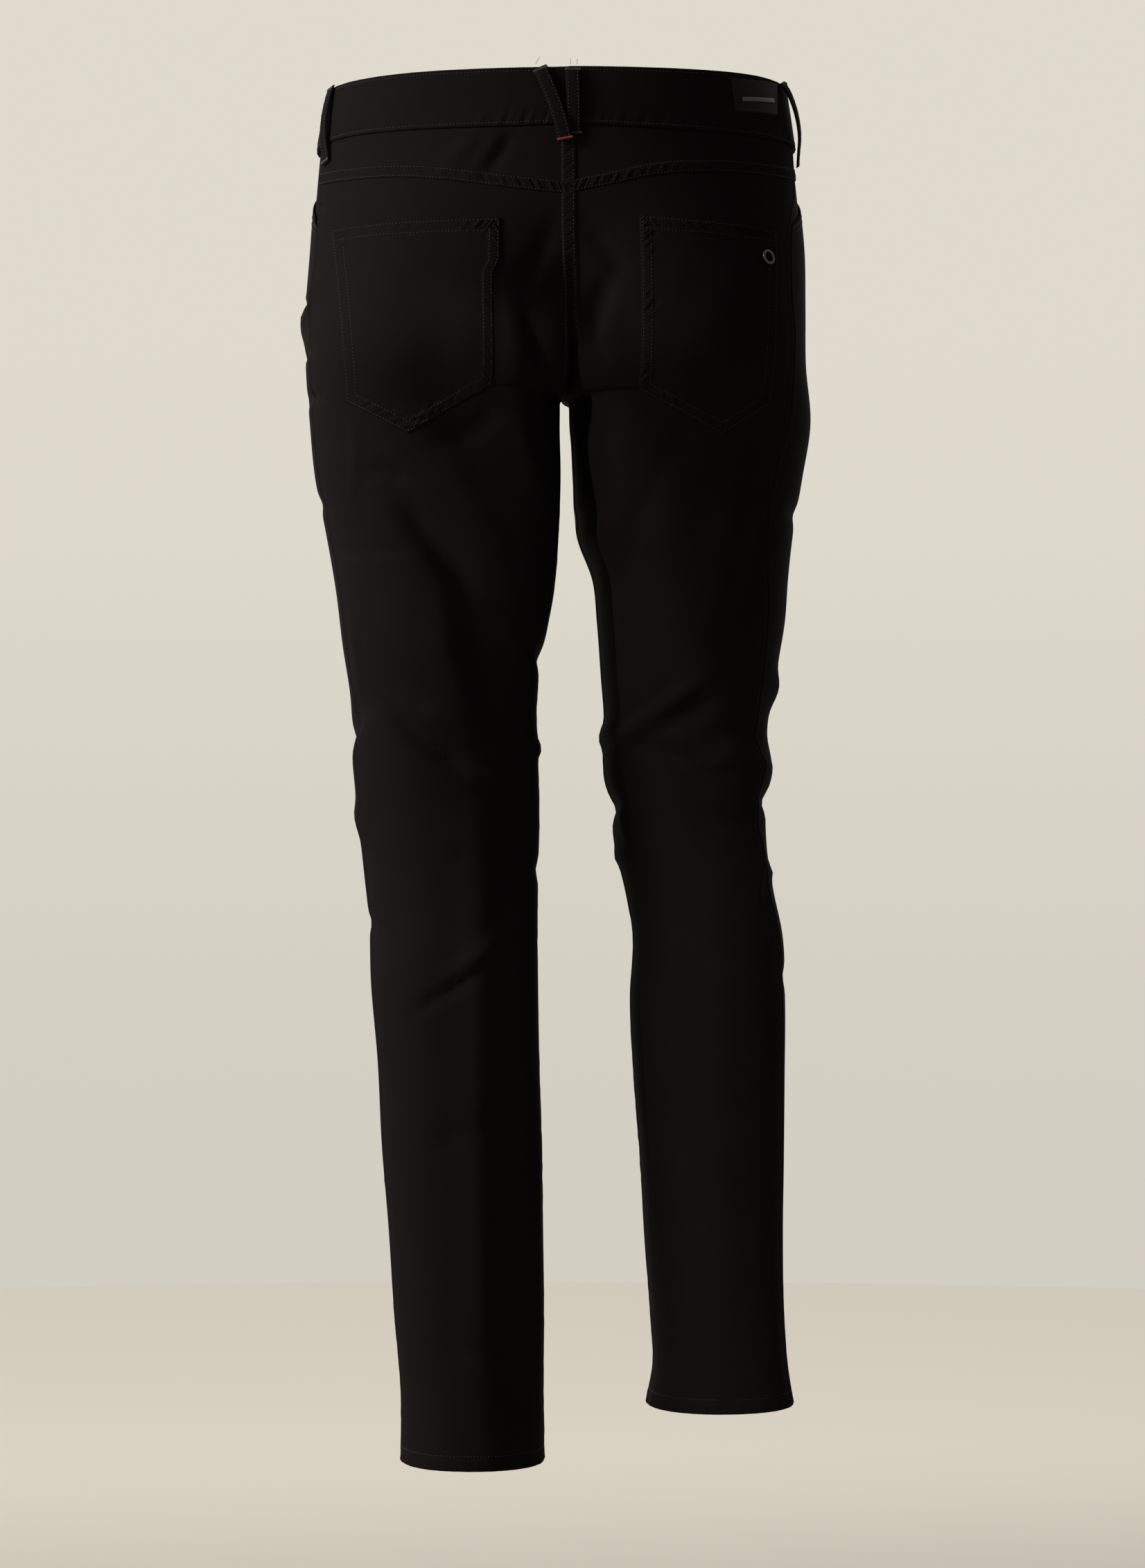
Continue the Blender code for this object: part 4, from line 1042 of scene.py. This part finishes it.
def back_pocket(side, word):
    """A patch pocket: folded edges that roll down onto the panel, a raised double border and top hem between
    their two rows of stitching, and puckers across them where the thread draws the cloth in."""
    places = outline_grid(POCKETS[side], 110, 86)
    edge, hem, run = outline_edges(POCKETS[side], places)
    places = pinched(side, places)
    near, far = POCKET_ROWS
    double = 1 - ease(np.minimum(edge, hem - near), far + 0.4, far + 1.4)
    out = 0.25 + 0.75 * rolled(edge, 0.9) + 0.35 * double
    sewn = bell(edge - near, 0.5) + bell(edge - far, 0.5) * (hem > 1)
    out -= 0.22 * np.clip(sewn, 0, 1)
    between = ease(edge, 1.4, 2.4) * (1 - ease(edge, 6.6, 7.6))
    strength = 0.45 + 0.55 * uneven(run / 21, 1.0 + side)
    out += 0.95 * between * strength * uneven((run + 0.9 * edge) / 1.3, 4.0)
    out += 0.42 * bell(edge - 9, 3) * strength * uneven((run + 0.9 * edge) / 2.6, 1.0)
    out += 0.2 * uneven(places[..., 0] / 19 + places[..., 1] / 33, 2.0 + side) * ease(edge, 9, 24)
    outer, inner = on_panel(places, BEHIND, out, 0.03)
    cloth("back_pocket_" + word, outer, inner)


def placket():
    """The lapped edge of the left front over the zip, with its curved end."""
    places = outline_grid(PLACKET, 60, 26)
    edge, _, run = outline_edges(PLACKET, places)
    out = 0.2 + 0.6 * rolled(edge, 0.9) + 0.12 * uneven(run / 2.6, 1.0) * ease(edge, 1, 3)
    outer, inner = on_panel(places, IN_FRONT, out, 0.03)
    cloth("fly_placket", outer, inner)


def seam_strip(name, side, angle, level, seed, strength):
    """A felled seam: a raised flat band whose edges roll down, dented along its two rows of stitching and
    puckered between them. Its places are on a grid with the band's width across the columns."""
    points, normals = surface(side, angle, level)
    row, column = arcs(points)
    edge = np.minimum(row, row[:, -1:] - row)
    out = 0.15 * MM + 0.6 * MM * rolled(edge, 0.9 * MM) - 0.2 * MM * bell(edge - 1.2 * MM, 0.5 * MM)
    between = ease(edge, 1.2 * MM, 2.2 * MM)
    slant = (column + 0.7 * row) / (1.35 * MM)
    out += 0.42 * MM * between * strength * uneven(slant, seed)
    shell(name, raised(points, normals, out), raised(points, normals, 0.02 * MM), "twill")


def yoke_strip(side, name):
    """The felled seam along the yoke, which puckers most halfway to the centre."""
    corner = corner_angle(side, yoke_line)
    angle = np.linspace(corner, math.pi - 0.02, 170)[:, None]
    across = np.linspace(*YOKE_STRIP, 12)[None, :] * MM
    strength = bell(np.degrees(angle) - 135, 45) + 0.35
    seam_strip(name, side, angle, yoke_line(side, angle) + across, 3.0 + side, strength)


def centre_strip():
    """The felled seam down the centre back, kept off the line where the two sides change."""
    level = np.linspace(-41, -221, 170)[:, None]
    across = np.linspace(*CENTRE_STRIP, 15)[None, :]
    x = smooth(CENTRE_SEAM, 1, level * MM) / MM + across
    x = np.where(np.abs(x) < 0.02, 0.02, x)
    seam_strip("seam_centre_back", *placed(x, level, BEHIND), 6.0, 0.6)


def waistband_places():
    """Side, ring angle and shift inward of the band's columns, from the lap's end at the front over the left
    side and back to the right end, which steps in and runs on behind the left end."""
    def front(side, x):
        return float(ring_angle(side, side * x * MM, -35 * MM, IN_FRONT))

    left_columns, right_columns = BAND_COLUMNS
    lap = [(RIGHT, front(RIGHT, x), 0) for x in BAND_LAP]
    left = [(LEFT, angle, 0) for angle in np.linspace(-math.pi, math.pi, left_columns)]
    right = [(RIGHT, angle, 0) for angle in np.linspace(math.pi, math.radians(-132), right_columns)[1:]]
    step = BAND_WALL + 2 * SEAM_GAP
    x = np.linspace(26, 3, 14)
    share = np.interp(x, (3, 9, 14, 20, 26), (1, 1, 0.8, 0.25, 0))
    under = [(RIGHT, front(RIGHT, a), b * step) for a, b in zip(x, share)]
    end = [(LEFT, front(LEFT, a), step) for a in (1, 4, 10, 16, 22, 27, 28)]
    return np.array(lap + left + right + under + end).T


def waistband():
    """Two layers with interlining: rounded top and bottom folds, dents along its rows of stitching and short
    puckers above the seam."""
    side, angle, inward = (line[None, :] for line in waistband_places())
    bottom, top = band_seam(side, angle), band_top(side, angle)
    level = bottom + (top - bottom) * shares(26, 0.75)[:, None]
    points, normals = surface(side, angle, level)
    row, low = arcs(points)
    high = low[-1:] - low
    top_fold, bottom_fold = 1 - rolled(high, 1.3 * MM), 1 - rolled(low, 1.2 * MM)
    low_row, high_row = BAND_ROWS
    out = BAND_PROUD - 0.8 * MM * top_fold - 0.7 * MM * bottom_fold - inward
    out = out - 0.2 * MM * (bell(high - high_row, 0.6 * MM) + bell(low - low_row, 0.6 * MM))
    strength = 0.35 + 0.65 * np.clip(uneven(row / (60 * MM), 0.4), 0, 1)
    out = out + 0.6 * MM * strength * uneven(row / (1.9 * MM), 2.0) * bell(low - 4.5 * MM, 6 * MM)
    out = out + 0.12 * MM * uneven(row / (4.1 * MM), 1.0) * bell(high - 1 * MM, 3 * MM)
    outer = raised(points, normals, out)
    wall = BAND_WALL - 0.4 * MM - 0.9 * MM * top_fold - 0.8 * MM * bottom_fold
    cloth("waistband", outer, raised(outer, normals, -wall))


def loop_surface(side, top, end, rises, count):
    """Middle line, outward and sideways directions of a belt loop."""
    share = np.linspace(0, 1, count)
    rise = smooth(np.stack((np.linspace(0, 1, len(rises)), rises), -1), 1, share) * MM
    angle = np.radians(top[0] + (end[0] - top[0]) * share)
    level = (top[1] + (end[1] - top[1]) * share) * MM
    points, normals = leg_surface(side, angle, level)
    line = points + normals * rise[:, None]
    across = np.cross(np.gradient(line, axis=0), normals)
    across /= np.linalg.norm(across, axis=-1, keepdims=True)
    outward = np.cross(across, np.gradient(line, axis=0))
    outward /= np.linalg.norm(outward, axis=-1, keepdims=True)
    outward *= np.sign((outward * normals).sum(-1, keepdims=True))
    return line, outward, across


def belt_loop(name, side, top, end, rises):
    """A folded strip with rounded edges, a little narrower towards its middle and thinner where it is sewn
    down at its ends.
    """
    count = 56
    line, outward, across = loop_surface(side, top, end, rises, count)
    share = np.linspace(0, 1, count)[:, None]
    width = 5.1 * MM * (1 - 0.05 * np.sin(math.pi * share))
    u = shares(15, 0.7)[None, :] * 2 - 1
    edge = (1 - np.abs(u)) * width
    run = share * run_along(line)[-1]
    ends = np.minimum(run, run[-1] - run)
    thick = 0.5 * MM + 1.1 * MM * rolled(edge, 0.9 * MM) * (0.35 + 0.65 * rolled(ends, 1.2 * MM))
    thick -= 0.18 * MM * bell(edge - 1.7 * MM, 0.5 * MM)
    thick += 0.08 * MM * uneven(run / (2.1 * MM) + 3 * u, 1.0 + side)
    strap = raised(line[:, None], across[:, None], u * width)
    outer = raised(strap, outward[:, None], thick)
    inner = raised(strap, outward[:, None], 0.25 * MM * (1 - rolled(edge, 0.8 * MM)))
    cloth(name, outer, inner)


def loop_rows(side, top, end, rises):
    """The two rows of stitching down a belt loop."""
    line, outward, across = loop_surface(side, top, end, rises, 60)
    return [(line + across * s * 3.3 * MM + outward * 1.42 * MM, outward) for s in (-1, 1)]


def bartack_rows(side, top, end, rises, at):
    """A dense zigzag across a loop's end: short threads side by side down the loop, packed across it."""
    count = 60
    line, outward, across = loop_surface(side, top, end, rises, count)
    k = int(round(at * (count - 1)))
    down = line[min(k + 1, count - 1)] - line[max(k - 1, 0)]
    half = down / np.linalg.norm(down) * 1.0 * MM
    rows = []
    for u in np.linspace(-5.2, 5.2, 24):
        middle = line[k] + across[k] * u * MM + outward[k] * 1.5 * MM
        rows.append((np.stack((middle - half, middle + half)), np.stack((outward[k], outward[k]))))
    return rows


def on_cloth(piece, x, level, face, out):
    """Turn and move a piece's mesh onto the cloth, its own Z along the cloth's normal."""
    point, normal = surface(*placed(x, level, face))
    turn = Vector(normal).to_track_quat("Z", "Y").to_matrix().to_4x4()
    piece.data.transform(Matrix.Translation(Vector(point + normal * out)) @ turn)


def turned(name, profile, key, steps=48):
    """A turned piece from a profile of radius and height in millimetres, flat at both ends."""
    points, faces = revolved(profile, steps)
    last = len(profile) * steps
    faces += [list(range(steps))[::-1], list(range(last - steps, last))]
    return made(name, points * MM, faces, key, name)


def label():
    """A bare patch sewn on the band, with a plain metal bar."""
    places = outline_grid(LABEL, 34, 48)
    edge = outline_edges(LABEL, places)[0]
    out = 1.2 + 0.65 * rolled(edge, 0.8) - 0.12 * bell(edge - LABEL_ROW, 0.45)
    outer, inner = on_panel(places, BEHIND, out, 1.05)
    declared(shell("label_patch", outer, inner, "leather", "label_patch"), outer)
    start, end = np.array(LABEL_BAR, float)
    length = np.linalg.norm(end - start)
    along = (end - start) / length
    beside = np.array((-along[1], along[0]))
    u, v = shares(40, 0.8)[:, None], shares(12, 0.6)[None, :] * 2 - 1
    places = start + (end - start) * u[..., None] + beside * (v * BAR_HALF_WIDTH)[..., None]
    edge = np.minimum((1 - np.abs(v)) * BAR_HALF_WIDTH, np.minimum(u, 1 - u) * 25)
    outer, inner = on_panel(places, BEHIND, 2.15 + 0.8 * rolled(edge, 0.7), 1.95)
    shell("label_bar", outer, inner, "steel", "label_bar")


def eyelet():
    """A pressed ring: a nearly round section, flatter on its inner side, turned about the hole."""
    t = np.linspace(-math.pi, math.pi, 17)[:-1]
    reach = np.cos(t) * np.where(np.cos(t) > 0, 1.1, 1.1 * 0.85)
    points, faces = revolved(np.stack((4.4 + reach, np.sin(t)), -1), 56, closed=True)
    ring = made("eyelet_ring", points * MM, faces, "steel", "eyelet_ring")
    on_cloth(ring, *EYELET_PLACE, BEHIND, 2.4 * MM)


def button():
    """The waist button: a dished face with a rounded rim on a short shank."""
    profile = ((0.01, -0.6), (2.6, -0.6), (3.0, 0.3), (7.4, 0.3), (8.1, 0.5), (8.5, 1.0), (8.5, 1.9),
               (8.1, 2.5), (7.4, 2.75), (6.6, 2.5), (6.0, 1.9), (5.2, 1.25), (3, 1.0), (0.01, 0.9))
    on_cloth(turned("waist_button", profile, "dark_metal"), *BUTTON_PLACE, IN_FRONT, BAND_PROUD + 0.6 * MM)


def zip_tape():
    """The closed zip's tape in one piece, behind the placket."""
    across, level = np.linspace(-12, 12, 17)[None, :], np.linspace(-62, -150, 40)[:, None]
    points, normals = surface(*placed(across, level, IN_FRONT))
    outer, inner = raised(points, normals, -2.3 * MM), raised(points, normals, -2.9 * MM)
    cloth("zip_tape", outer, inner)


def zip_teeth():
    """Two rows of meshed teeth: small boxes that stand off the middle to either side by turns."""
    count = 44
    shift = np.where(np.arange(count) % 2, 0.55, -0.55)
    points, normals = surface(*placed(shift, np.linspace(-66, -148, count), IN_FRONT))
    corner = np.array([(x, y, z) for x in (-1, 1) for y in (-1, 1) for z in (-1, 1)], float)
    vertices = raised(points, normals, -3.3 * MM)[:, None] + corner * (1.5 * MM, 0.5 * MM, 0.7 * MM)
    number = np.arange(count * 8).reshape(count, 8)
    box = np.array(((0, 1, 3, 2), (4, 6, 7, 5), (0, 4, 5, 1), (2, 3, 7, 6), (0, 2, 6, 4), (1, 5, 7, 3)))
    made("zip_teeth", vertices, number[:, box].reshape(-1, 4).tolist(), "dark_metal")


def zip_slider():
    """The slider as a block with rounded edges, at the top of the closed teeth."""
    work = bmesh.new()
    bmesh.ops.create_cube(work, size=1)
    size = Matrix.Diagonal((7.6 * MM, 10.5 * MM, 2.0 * MM, 1))
    bmesh.ops.transform(work, matrix=size, verts=work.verts)
    bmesh.ops.bevel(work, geom=work.edges[:], offset=0.7 * MM, segments=3, affect="EDGES")
    mesh = bpy.data.meshes.new("zip_slider")
    work.to_mesh(mesh)
    work.free()
    mesh.shade_smooth()
    slider = on_frame(linked("zip_slider", mesh), "dark_metal", "zip_slider")
    on_cloth(slider, 0.2, -71, IN_FRONT, -4.9 * MM)


def band_rows():
    """A row above the band's seam and one below its top edge, on the columns that the lap leaves in sight."""
    seen = len(BAND_LAP) + sum(BAND_COLUMNS) - 1
    side, angle = waistband_places()[:2, :seen]
    low_row, high_row = BAND_ROWS
    levels = (band_seam(side, angle) + low_row, band_top(side, angle) - high_row)
    return [seam_path(side, angle, level, BAND_PROUD - 0.1 * MM) for level in levels]


def yoke_rows(side):
    """Two rows along the yoke's felled seam, from the side seam almost to the centre."""
    angle = np.linspace(corner_angle(side, yoke_line) + 0.02, math.pi - 0.06, 200)
    level = yoke_line(side, angle)
    return [seam_path(side, angle, level + across * MM, 0.6 * MM) for across in YOKE_ROWS]


def centre_rows():
    """Two rows down the centre back's felled seam."""
    level = np.linspace(-43, -220, 190)
    seam = smooth(CENTRE_SEAM, 1, level * MM) / MM
    return [seam_path(*placed(seam + across, level, BEHIND), 0.62 * MM) for across in CENTRE_ROWS]


def pocket_rows(side):
    """Two rows round a back pocket and two across its top hem, which end on the outer one of those."""
    outline = POCKETS[side]
    rings = [inset_outline(outline, inset) for inset in POCKET_ROWS]
    rows = [flat_path(np.roll(ring, -1, 0), BEHIND, 1.12 * MM, side) for ring in rings]
    ends = rings[0][:2]
    for inset in POCKET_HEM_ROWS:
        lower = inset_outline(outline, inset)[:2]
        rows.append(flat_path(ends + (lower - ends) * (0, 1), BEHIND, 1.2 * MM))
    return rows


def hem_rows(side):
    """One row round a hem, above its edge, in a front half and a back half."""
    rows = []
    for face in (IN_FRONT, BEHIND):
        angle = np.linspace(0, face * math.pi, 150)
        rows.append(seam_path(side, angle, hem_line(side, angle) + HEM_ROW, -0.22 * MM))
    return rows


def mouth_rows(side):
    """Two rows along the slanted mouth of a front pocket, below its cut edge."""
    low_angle, high_level = side_seam(side, MOUTH_END), band_seam(side, MOUTH_ANGLE)
    share = np.linspace(0.02, 0.98, 80)
    rows = []
    for inset in MOUTH_ROWS:
        angle = low_angle + (MOUTH_ANGLE - low_angle) * share - inset / 130
        level = MOUTH_END + (high_level - MOUTH_END) * share - inset * 0.45 * MM
        rows.append(seam_path(side, angle, level, 0.0))
    return rows


def placket_rows():
    """Two curved rows that hold the placket down, and a straight one along its edge."""
    paths = []
    for inset in (0, 6):
        edge, foot = 32 - inset, inset - 164
        curve = ((edge - 3.5, -152), (edge - 12, -159), (8, foot + 1), (2, foot))
        paths.append(((edge, -60), (edge, -142), *curve))
    paths.append(((2, -60), (2, -158)))
    return [flat_path(path, IN_FRONT, 0.75 * MM) for path in paths]


def label_rows():
    """One row round the patch, just inside its edge."""
    ring = inset_outline(LABEL, LABEL_ROW)
    return [flat_path((*ring, ring[0]), BEHIND, 1.8 * MM)]


def stitching(context):
    """All the rows of stitching and the bartacks, each piece's in an object of its own."""
    settings = context.scene.trousers
    stitch = settings.stitch_length, settings.stitch_gap, settings.thread_radius
    sewn = [("waistband", band_rows())]
    sewn += [("yoke_" + word, yoke_rows(side)) for side, word in SIDES]
    sewn.append(("centre_back", centre_rows()))
    for side, word in SIDES:
        sewn.append(("pocket_" + word, pocket_rows(side)))
        sewn.append(("hem_" + word, hem_rows(side)))
        sewn.append(("mouth_" + word, mouth_rows(side)))
    sewn += [("placket", placket_rows()), ("label", label_rows())]
    for name, rows in sewn:
        thread_rows("stitches_" + name, rows, *stitch)
    for name, *shape in BELT_LOOPS:
        thread_rows("stitches_" + name, loop_rows(*shape), *stitch)
        upper, lower = (bartack_rows(*shape, at) for at in TACK_PLACES)
        if name == RED_TACKED_LOOP:
            thread_rows("bartack_red", lower, *TACK_STITCH, 0.26 * MM, "red_thread")
            lower = []
        thread_rows("bartacks_" + name, upper + lower, *TACK_STITCH, 0.24 * MM)


def loose_threads():
    """A few short thread ends left at the belt loops, as thin bent tubes."""
    for number, (leg, *bends) in enumerate(THREAD_ENDS):
        curve = bpy.data.curves.new(f"loose_thread_{number}", "CURVE")
        curve.dimensions = "3D"
        curve.bevel_depth = 0.14 * MM
        curve.bevel_resolution = 2
        line = curve.splines.new("BEZIER")
        line.bezier_points.add(len(bends) - 1)
        for bezier, (turn, level) in zip(line.bezier_points, bends):
            point, normal = leg_surface(leg, math.radians(turn), level * MM)
            bezier.co = Vector(point + normal * 2.6 * MM)
            bezier.handle_left_type = bezier.handle_right_type = "AUTO"
        on_frame(linked(curve.name, curve), "thread")


def room_material(name, settings):
    """The wall only glows. The floor glows less and also takes the light and the garment's soft shadow."""
    material, tree, shader = node_material(name, FLOOR_COLOUR, 0.9)
    material.cycles.emission_sampling = "NONE"
    if name == "floor":
        shader.inputs["Specular IOR Level"].default_value = 0
        shader.inputs["Emission Color"].default_value = (*ROOM_COLOUR, 1)
        strength = glow(tree, -3.0, 0.05, 0.62 * settings.room_bright)
        tree.links.new(strength, shader.inputs["Emission Strength"])
        return material
    strength = glow(tree, -4.5, settings.room_dim, settings.room_bright)
    emission = add_node(tree, "Emission", {"Color": (*ROOM_COLOUR, 1)}, {"Strength": strength})
    tree.links.new(emission.outputs["Emission"], tree.nodes["Material Output"].inputs["Surface"])
    tree.nodes.remove(shader)
    return material


def glow(tree, far, dim, bright):
    """The strength of a glow that rises from dim beside the garment to bright far behind it from the camera,
    and a little with the height over the floor."""
    split = add_node(tree, "SeparateXYZ", feeds=object_place(tree))
    ramps = []
    for axis, ends in (("Y", (GLOW_START, far, dim, bright)), ("Z", (FLOOR_LEVEL, 0.6, 0.88, 1.0))):
        values = dict(zip(("From Min", "From Max", "To Min", "To Max"), ends))
        place = {"Value": split.outputs[axis]}
        ramp = add_node(tree, "MapRange", values, place, interpolation_type="SMOOTHSTEP")
        ramps.append(ramp.outputs["Result"])
    return add_node(tree, "Math", feeds=dict(enumerate(ramps)), operation="MULTIPLY").outputs["Value"]


def room(settings):
    """A round room as one turned profile: a flat floor, a wide curve up, and a wall that closes overhead."""
    curve = [(FLOOR_REACH + ROOM_CURVE * math.sin(t), FLOOR_LEVEL + ROOM_CURVE * (1 - math.cos(t)))
             for t in np.linspace(0, math.pi / 2, 14)]
    floor_rings = ((0.001, FLOOR_LEVEL), (2.5, FLOOR_LEVEL))
    points, faces = revolved((*floor_rings, *curve, *ROOM_TOP), ROOM_STEPS)
    points = points.reshape(-1, 3).tolist()
    floor_faces = len(floor_rings) * ROOM_STEPS
    for name, part in (("floor", faces[:floor_faces]), ("backdrop", faces[floor_faces:])):
        mesh = bpy.data.meshes.new(name)
        mesh.from_pydata(points, [], part)
        mesh.shade_smooth()
        mesh.materials.append(room_material(name, settings))
        linked(name, mesh)


def lights(settings):
    """The soft lights and the narrow one, each turned towards its aim."""
    for name, place, aim, size, spread in LIGHTS:
        light = bpy.data.lights.new(name, "AREA")
        light.shape = "RECTANGLE"
        light.size, light.size_y = size
        light.energy = getattr(settings, name + "_power")
        light.spread = math.radians(spread)
        light.color = LIGHT_COLOUR
        lamp = linked(name, light)
        lamp.location = place
        lamp.rotation_euler = (Vector(aim) - Vector(place)).to_track_quat("-Z", "Y").to_euler()
        lamp.visible_camera = False


def stage(context):
    """A round pale room that glows behind the garment, a large soft light at the picture's left, a narrow one
    that rakes the right leg, weak ones opposite and behind, and the camera at the photo's angle."""
    scene = context.scene
    room(scene.trousers)
    lights(scene.trousers)
    scene.view_settings.view_transform = "Standard"
    scene.world = scene.world or bpy.data.worlds.new("dim")
    scene.world.use_nodes = True
    scene.world.node_tree.nodes["Background"].inputs["Color"].default_value = (0, 0, 0, 1)
    camera = bpy.data.cameras.new("camera")
    camera.sensor_width = SENSOR
    camera.lens = SENSOR * CAMERA_DISTANCE / (2 * VIEW_HALF_HEIGHT)
    camera.clip_end = 60
    right = Vector((-math.cos(CAMERA_TURN), math.sin(CAMERA_TURN), 0))
    back = Vector((math.sin(CAMERA_TURN), math.cos(CAMERA_TURN), 0))
    holder = linked("camera", camera)
    holder.location = back * CAMERA_DISTANCE + right * CAMERA_SHIFT + Vector((0, 0, CAMERA_LEVEL))
    holder.rotation_euler = (-back).to_track_quat("-Z", "Y").to_euler()
    scene.camera = holder


class TrouserSettings(bpy.types.PropertyGroup):
    cloth_thickness: bpy.props.FloatProperty(
        name="Cloth", description="Thickness of the twill", default=0.9 * MM, unit="LENGTH")
    rib_pitch: bpy.props.FloatProperty(
        name="Twill rib", description="Distance between the twill's slanted ribs", default=0.8 * MM,
        unit="LENGTH")
    stitch_length: bpy.props.FloatProperty(
        name="Stitch", description="Length of one visible stitch", default=1.55 * MM, unit="LENGTH")
    stitch_gap: bpy.props.FloatProperty(
        name="Stitch gap", description="Gap between two stitches", default=0.95 * MM, unit="LENGTH")
    thread_radius: bpy.props.FloatProperty(
        name="Thread", description="Half the thickness of the sewing thread", default=0.21 * MM,
        unit="LENGTH")
    cloth_colour: bpy.props.FloatVectorProperty(
        name="Cloth colour", description="Colour of the dyed twill", default=(0.0066, 0.0052, 0.0055),
        subtype="COLOR", size=3)
    thread_colour: bpy.props.FloatVectorProperty(
        name="Thread colour", description="Colour of the sewing thread", default=(0.0115, 0.0098, 0.0100),
        subtype="COLOR", size=3)
    key_power: bpy.props.FloatProperty(
        name="Key light", description="Power of the large soft light", default=215, unit="POWER")
    strip_power: bpy.props.FloatProperty(
        name="Strip light", description="Power of the narrow light on the right leg", default=0.135,
        unit="POWER")
    fill_power: bpy.props.FloatProperty(
        name="Fill light", description="Power of the light opposite", default=1.5, unit="POWER")
    back_power: bpy.props.FloatProperty(
        name="Back light", description="Power of the light behind", default=12, unit="POWER")
    room_bright: bpy.props.FloatProperty(
        name="Room behind", description="Glow of the room behind the garment", default=0.74)
    room_dim: bpy.props.FloatProperty(
        name="Room in front", description="Glow of the room on the camera's side", default=0.22)


class PanelsOperator(bpy.types.Operator):
    """Make the leg panels, the back yokes, their felled seams and the pocket facings"""
    bl_idname = "trousers.panels"
    bl_label = "Panels and yokes"

    def execute(self, context):
        for side, word in SIDES:
            panel(context, side, word, BEHIND)
            panel(context, side, word, IN_FRONT)
            yoke(context, side, word)
            facing(context, side, word)
        return {"FINISHED"}


class PocketsOperator(bpy.types.Operator):
    """Make the back patch pockets"""
    bl_idname = "trousers.pockets"
    bl_label = "Back pockets"

    def execute(self, context):
        for side, word in SIDES:
            back_pocket(side, word)
        return {"FINISHED"}


class BandOperator(bpy.types.Operator):
    """Make the waistband and the belt loops"""
    bl_idname = "trousers.band"
    bl_label = "Waistband and belt loops"

    def execute(self, context):
        waistband()
        for loop in BELT_LOOPS:
            belt_loop(*loop)
        return {"FINISHED"}


class ClosingOperator(bpy.types.Operator):
    """Make the placket, the zip and the waist button"""
    bl_idname = "trousers.closing"
    bl_label = "Placket, zip and button"

    def execute(self, context):
        placket()
        zip_tape()
        zip_teeth()
        zip_slider()
        button()
        return {"FINISHED"}


class TrimOperator(bpy.types.Operator):
    """Make the bare label, its bar and the metal ring"""
    bl_idname = "trousers.trim"
    bl_label = "Label and ring"

    def execute(self, context):
        label()
        eyelet()
        return {"FINISHED"}


class StitchingOperator(bpy.types.Operator):
    """Sew all the rows of stitching and the bartacks"""
    bl_idname = "trousers.stitching"
    bl_label = "Stitching"

    def execute(self, context):
        stitching(context)
        loose_threads()
        return {"FINISHED"}


class StageOperator(bpy.types.Operator):
    """Set up the room, the lights and the camera"""
    bl_idname = "trousers.stage"
    bl_label = "Stage"

    def execute(self, context):
        stage(context)
        return {"FINISHED"}


OPERATORS = (StitchingOperator, PanelsOperator, PocketsOperator, BandOperator, ClosingOperator, TrimOperator,
             StageOperator)


class TrouserPanel(bpy.types.Panel):
    bl_label = "Slim Trousers"
    bl_idname = "VIEW3D_PT_trousers"
    bl_space_type = "VIEW_3D"
    bl_region_type = "UI"
    bl_category = "Trousers"

    def draw(self, context):
        settings = context.scene.trousers
        for name in TrouserSettings.__annotations__:
            self.layout.prop(settings, name)
        for operator in OPERATORS:
            self.layout.operator(operator.bl_idname)


def register():
    for item in (TrouserSettings, *OPERATORS, TrouserPanel):
        bpy.utils.register_class(item)
    bpy.types.Scene.trousers = bpy.props.PointerProperty(type=TrouserSettings)


def unregister():
    del bpy.types.Scene.trousers
    for item in (TrouserPanel, *reversed(OPERATORS), TrouserSettings):
        bpy.utils.unregister_class(item)


def main():
    register()
    for operator in OPERATORS:
        group, name = operator.bl_idname.split(".")
        getattr(getattr(bpy.ops, group), name)()


if __name__ == "__main__":
    main()
